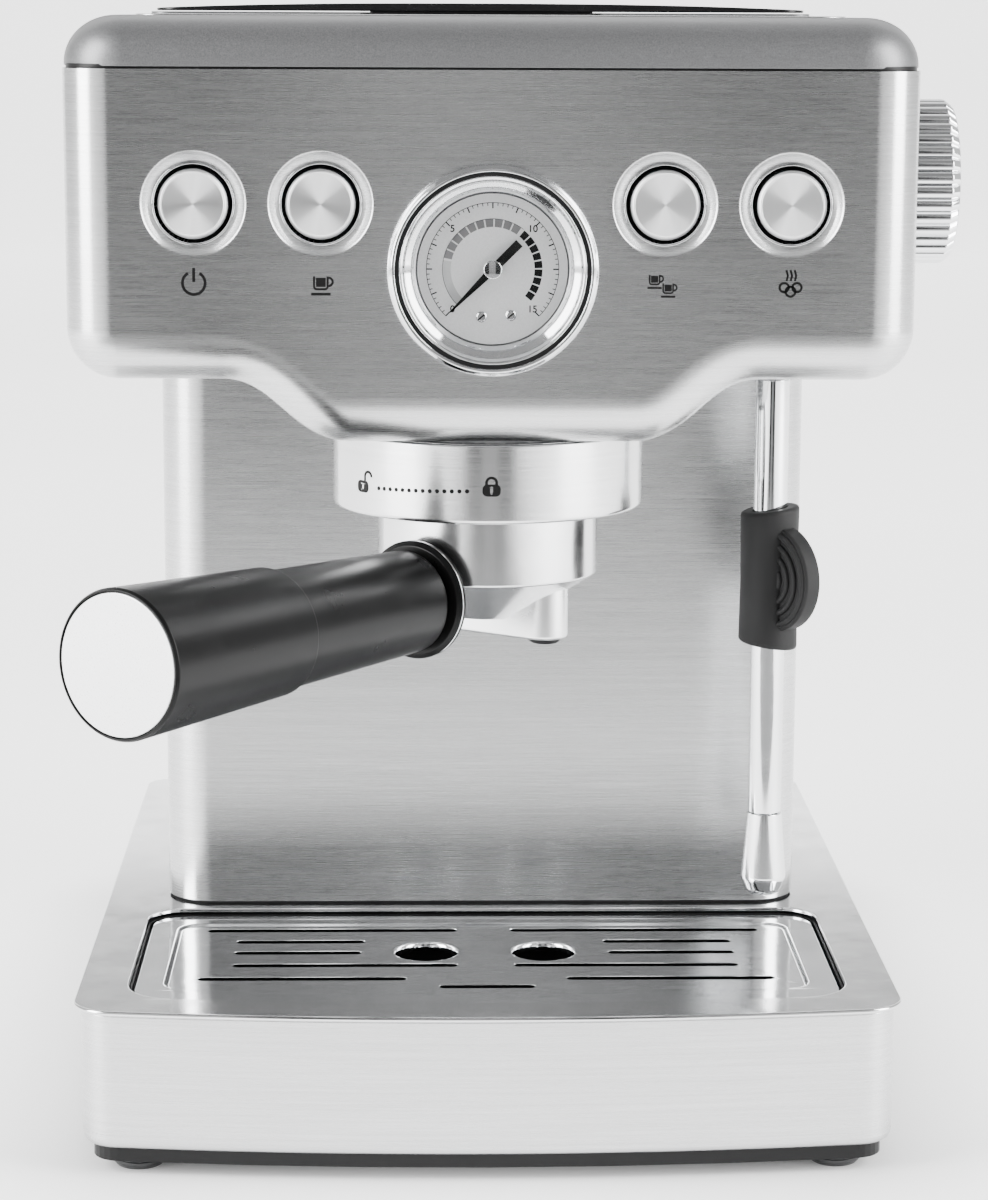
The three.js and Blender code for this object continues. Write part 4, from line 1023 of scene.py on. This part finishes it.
def lock_shapes(x, z, closed):
    """A padlock, 5 wide."""
    body = rectangle(x - 2.45, x + 2.45, z - 2.4, z + 0.9, 1.3)
    keyhole = rectangle(x - 0.4, x + 0.4, z - 1.5, z - 0.1, 0.39)
    shift, lift = (0, 1.3) if closed else (2.3, 2.1)
    shackle = ring_arc(1.75, 1.0, 0, 180, x + shift, z + lift)
    sides = (-1, 1) if closed else (-1,)
    legs = [x + shift + side * 1.37 for side in sides]
    return [[body, keyhole], [shackle], *[[stroke(leg, z + 0.7, leg, z + lift, 0.75)] for leg in legs]]


def make_collar_print():
    z, end, fall = 193.6, math.radians(-53) * COLLAR["radius"], 1.4
    marks = lock_shapes(0, z, True) + lock_shapes(end, z - fall, False)
    dots = 14
    first, last = end + 6.6, -6.6
    for k in range(dots):
        x = first + (last - first) * k / (dots - 1)
        marks.append([circle(0.6, x, z - 0.8 - fall * x / end, 16)])
    print_marks("collar_print", marks, on_collar, "ink", 0.05)


def dial_angle(part):
    """The direction on the dial, in degrees, at a part of the full sweep."""
    return NEEDLE_ZERO - DIAL_SWEEP * part


def make_dial_print():
    marks = []
    ticks = 60
    for k in range(ticks + 1):
        angle = math.radians(dial_angle(k / ticks))
        depth = 1.5 if k % 5 == 0 else 0.8
        start, end = polar(17.5 - depth, angle), polar(17.5, angle)
        marks.append([stroke(start.x, start.y, end.x, end.y, 0.36 if k % 5 == 0 else 0.22)])
    marks.append([ring_arc(17.6, 17.42, dial_angle(0), dial_angle(1))])
    marks.append([ring_arc(13.35, 13.2, dial_angle(0), dial_angle(0.64))])
    marks.append([circle(20.05, sides=128), circle(19.92, sides=128)])
    groups = [("pale_ink", 0.0, 0.205, 1), ("grey_ink", 0.215, 0.635, 10), ("ink", 0.645, 0.985, 9)]
    for look, start, end, count in groups:
        fill_part = 1 if count == 1 else 0.84
        shapes = []
        for k in range(count):
            low = dial_angle(start + (end - start) * k / count)
            high = dial_angle(start + (end - start) * (k + fill_part) / count)
            shapes.append([ring_arc(13.2, 11.1, low, high)])
        print_marks(f"dial_scale_{look}", shapes, on_dial, look, 0.04)
    print_marks("dial_ticks", marks, on_dial, "ink", 0.04)
    for k, number in enumerate((0, 5, 10, 15)):
        make_numeral(str(number), *polar(15, math.radians(dial_angle(k / 3))))


def make_dial_screws():
    """Two slotted screws that hold the dial, their slots painted as black bars."""
    for side, (x, z) in {"left": (-2.9, -12.6), "right": (4.9, -12.2)}.items():
        head = [(0, -0.1, 0), (1.5, -0.1, 0), (1.5, 0.45, 0.2), (1.1, 0.75, 0.2), (0, 0.75, 0)]
        place = facing(x, GAUGE_Z + z, DIAL_FACE)
        turn_piece(f"dial_screw_{side}", head, "root", "polished", place, sides=48)
        # Each slot is a thin black bar raised on the screw's head: painted shade in place of a cut slot.
        slot = shaped(slab, rectangle(-1.15, 1.15, -0.2, 0.2), 0.6, 0.8, 0.02)
        cut = place @ Matrix.Rotation(0.7, 4, "Z")
        piece(f"dial_screw_slot_shade_{side}", slot, "root", "black", cut)


def make_numeral(text, x, y):
    curve = bpy.data.curves.new("numeral_text", "FONT")
    curve.body = text
    curve.size = 2.6
    curve.align_x = "CENTER"
    curve.align_y = "CENTER"
    curve.extrude = 0.02
    curve.offset = 0.05
    drawn = bpy.data.objects.new("numeral_text", curve)
    mesh = bpy.data.meshes.new_from_object(drawn)
    bm = bmesh.new()
    bm.from_mesh(mesh)
    bpy.data.meshes.remove(mesh)
    bpy.data.objects.remove(drawn)
    place = facing(x, GAUGE_Z + y, DIAL_FACE - 0.03)
    piece(f"dial_numeral_{text}", bm, "root", "ink", place, merge=1e-5)


# ---- Buttons ----

def make_buttons():
    profile = [(0, -16.5, 0), (3, -16.5, 0.2), (3, -7, 0), (9.2, -7, 0.2), (9.2, 0, 0.35), (8.35, 0.9, 0.25),
               (8.05, 0.72, 0.1), (7.9, 0.72, 0), (0, 0.76, 0)]
    for name, x in BUTTONS.items():
        face = spun(f"spun_steel_{name}", in_frame(x, HEAD["front"], BUTTON_Z))
        node = f"button_{name}"
        turn_piece(node + "_cap", profile, node, "brushed", facing(x, BUTTON_Z), [node], 128, sharp=30,
                   material=face)


# ---- Studio ----

PAPER_GLOW = 1.6
# SHADOW_REACH: how far out from the base, in metres, the painted shadow on the floor fades.
SHADOW_REACH = 0.075
WALL = {"near": -2.6, "far": 4.2, "half": 3.4, "top": 5.5, "sweep": 0.9}


def dim_under_base(paper):
    """Painted shadow: the paper's glow fades to nothing over a rounded box round the base, so the floor there
    is darker than the light alone would leave it.
    """
    arm = paper.vector("ABSOLUTE", paper.vector("SUBTRACT", paper.place, middle_of("base_wrap")))
    past = paper.vector("MAXIMUM", paper.vector("SUBTRACT", arm, (0.1, 0.123, 1)), (0, 0, 0))
    links = {"Value": paper.length(past), "From Max": SHADOW_REACH, "To Max": PAPER_GLOW}
    glow = paper.node("ShaderNodeMapRange", links, interpolation_type="SMOOTHSTEP")
    paper.drive("Emission Strength", glow.outputs["Result"])


def make_floor():
    """A pale paper floor that sweeps up into a wall far behind the machine."""
    far, half, sweep = WALL["far"], WALL["half"], WALL["sweep"]
    profile = [(WALL["near"], 0)]
    for k in range(17):
        angle = math.pi / 2 * k / 16
        profile.append((far - sweep + sweep * math.sin(angle), sweep - sweep * math.cos(angle)))
    profile.append((far, WALL["top"]))
    bm = bmesh.new()
    loft(bm, [[(x, y, z) for x in (-half, half)] for y, z in profile], False)
    for face in bm.faces:
        face.smooth = True
    paper = Surface("pale_paper", (0.9, 0.9, 0.9), 0.75, Emission_Color=(1, 1, 1, 1))
    paper.tint(paper.noise(3, 3), 0.985, 1.015).bump(paper.noise(500, 3), 0.05, 0.1)
    # painted shadow: the paper glows less round the base
    dim_under_base(paper)
    link("studio_floor", bm, paper.material)


def aim(thing, location, target):
    thing.location = location
    thing.rotation_euler = (Vector(target) - Vector(location)).to_track_quat("-Z", "Y").to_euler()


def softbox(name, location, size, watts):
    data = bpy.data.lights.new(name, "AREA")
    data.shape = "RECTANGLE"
    data.size, data.size_y = size
    data.energy = watts
    light = bpy.data.objects.new(name, data)
    aim(light, location, (0, 0, 0.17))
    bpy.context.scene.collection.objects.link(light)


def flag(name, location, target, size, look):
    """A card that the camera doesn't see, which gives the steel its darker reflections."""
    bm = bmesh.new()
    w, h = size[0] / 2, size[1] / 2
    bm.faces.new([bm.verts.new(p) for p in ((-w, -h, 0), (w, -h, 0), (w, h, 0), (-w, h, 0))])
    card = link(name, bm, MAT[look])
    card.visible_camera = False
    aim(card, location, target)


def make_light():
    """A white room, a softbox on each side, and grey cards and black flags that shade the steel."""
    world = bpy.data.worlds.new("studio")
    bpy.context.scene.world = world
    world.use_nodes = True
    background = world.node_tree.nodes["Background"]
    background.inputs["Color"].default_value = (1, 1, 1, 1)
    background.inputs["Strength"].default_value = 1.0
    softbox("key_left", (-1.55, -0.7, 0.9), (0.9, 1.6), 85)
    softbox("key_right", (1.55, -0.7, 0.9), (0.9, 1.6), 75)
    flag("front_card", (0, -1.35, 0.62), (0, 0, 0.62), (0.9, 1.3), "grey_card")
    flag("floor_card", (0, -0.88, 0.004), (0, -0.88, 1), (1.0, 0.94), "grey_card")
    flag("top_card", (0, -0.45, 1.25), (0, 0, 0.2), (1.7, 1.2), "dark_card")
    flag("back_card", (0, 1.3, 0.72), (0, 0, 0.72), (1.5, 0.66), "grey_card")
    for side in (-1, 1):
        flag(f"side_flag_{side + 1}", (side * 0.22, -1.2, 0.5), (side * 0.22, 0, 0.5), (0.2, 1.2), "black")


def make_camera():
    """Pitch, yaw and roll of a camera that stands a little left of the centre and looks down."""
    pitch, yaw, roll = 10.406, 1.402, 0.253
    data = bpy.data.cameras.new("camera")
    data.lens = 96
    data.sensor_width = 36
    camera = bpy.data.objects.new("camera", data)
    turn = rotate(-yaw, "Z") @ rotate(90 - pitch, "X") @ rotate(roll, "Z")
    camera.matrix_world = move(*in_frame(-20, -977.6, 319)) @ turn
    bpy.context.scene.collection.objects.link(camera)
    bpy.context.scene.camera = camera


make_camera()
make_floor()
make_light()
dress_cad_nodes()
make_feet()
make_band()
make_deck()
make_grille()
make_column()
make_head()
make_seam()
make_cover()
make_lid()
make_lid_pull()
make_cup_plate()
make_collar()
make_bowl()
make_spout()
make_handle()
make_wand()
make_knob()
make_gauge()
make_buttons()
make_icons()
make_collar_print()
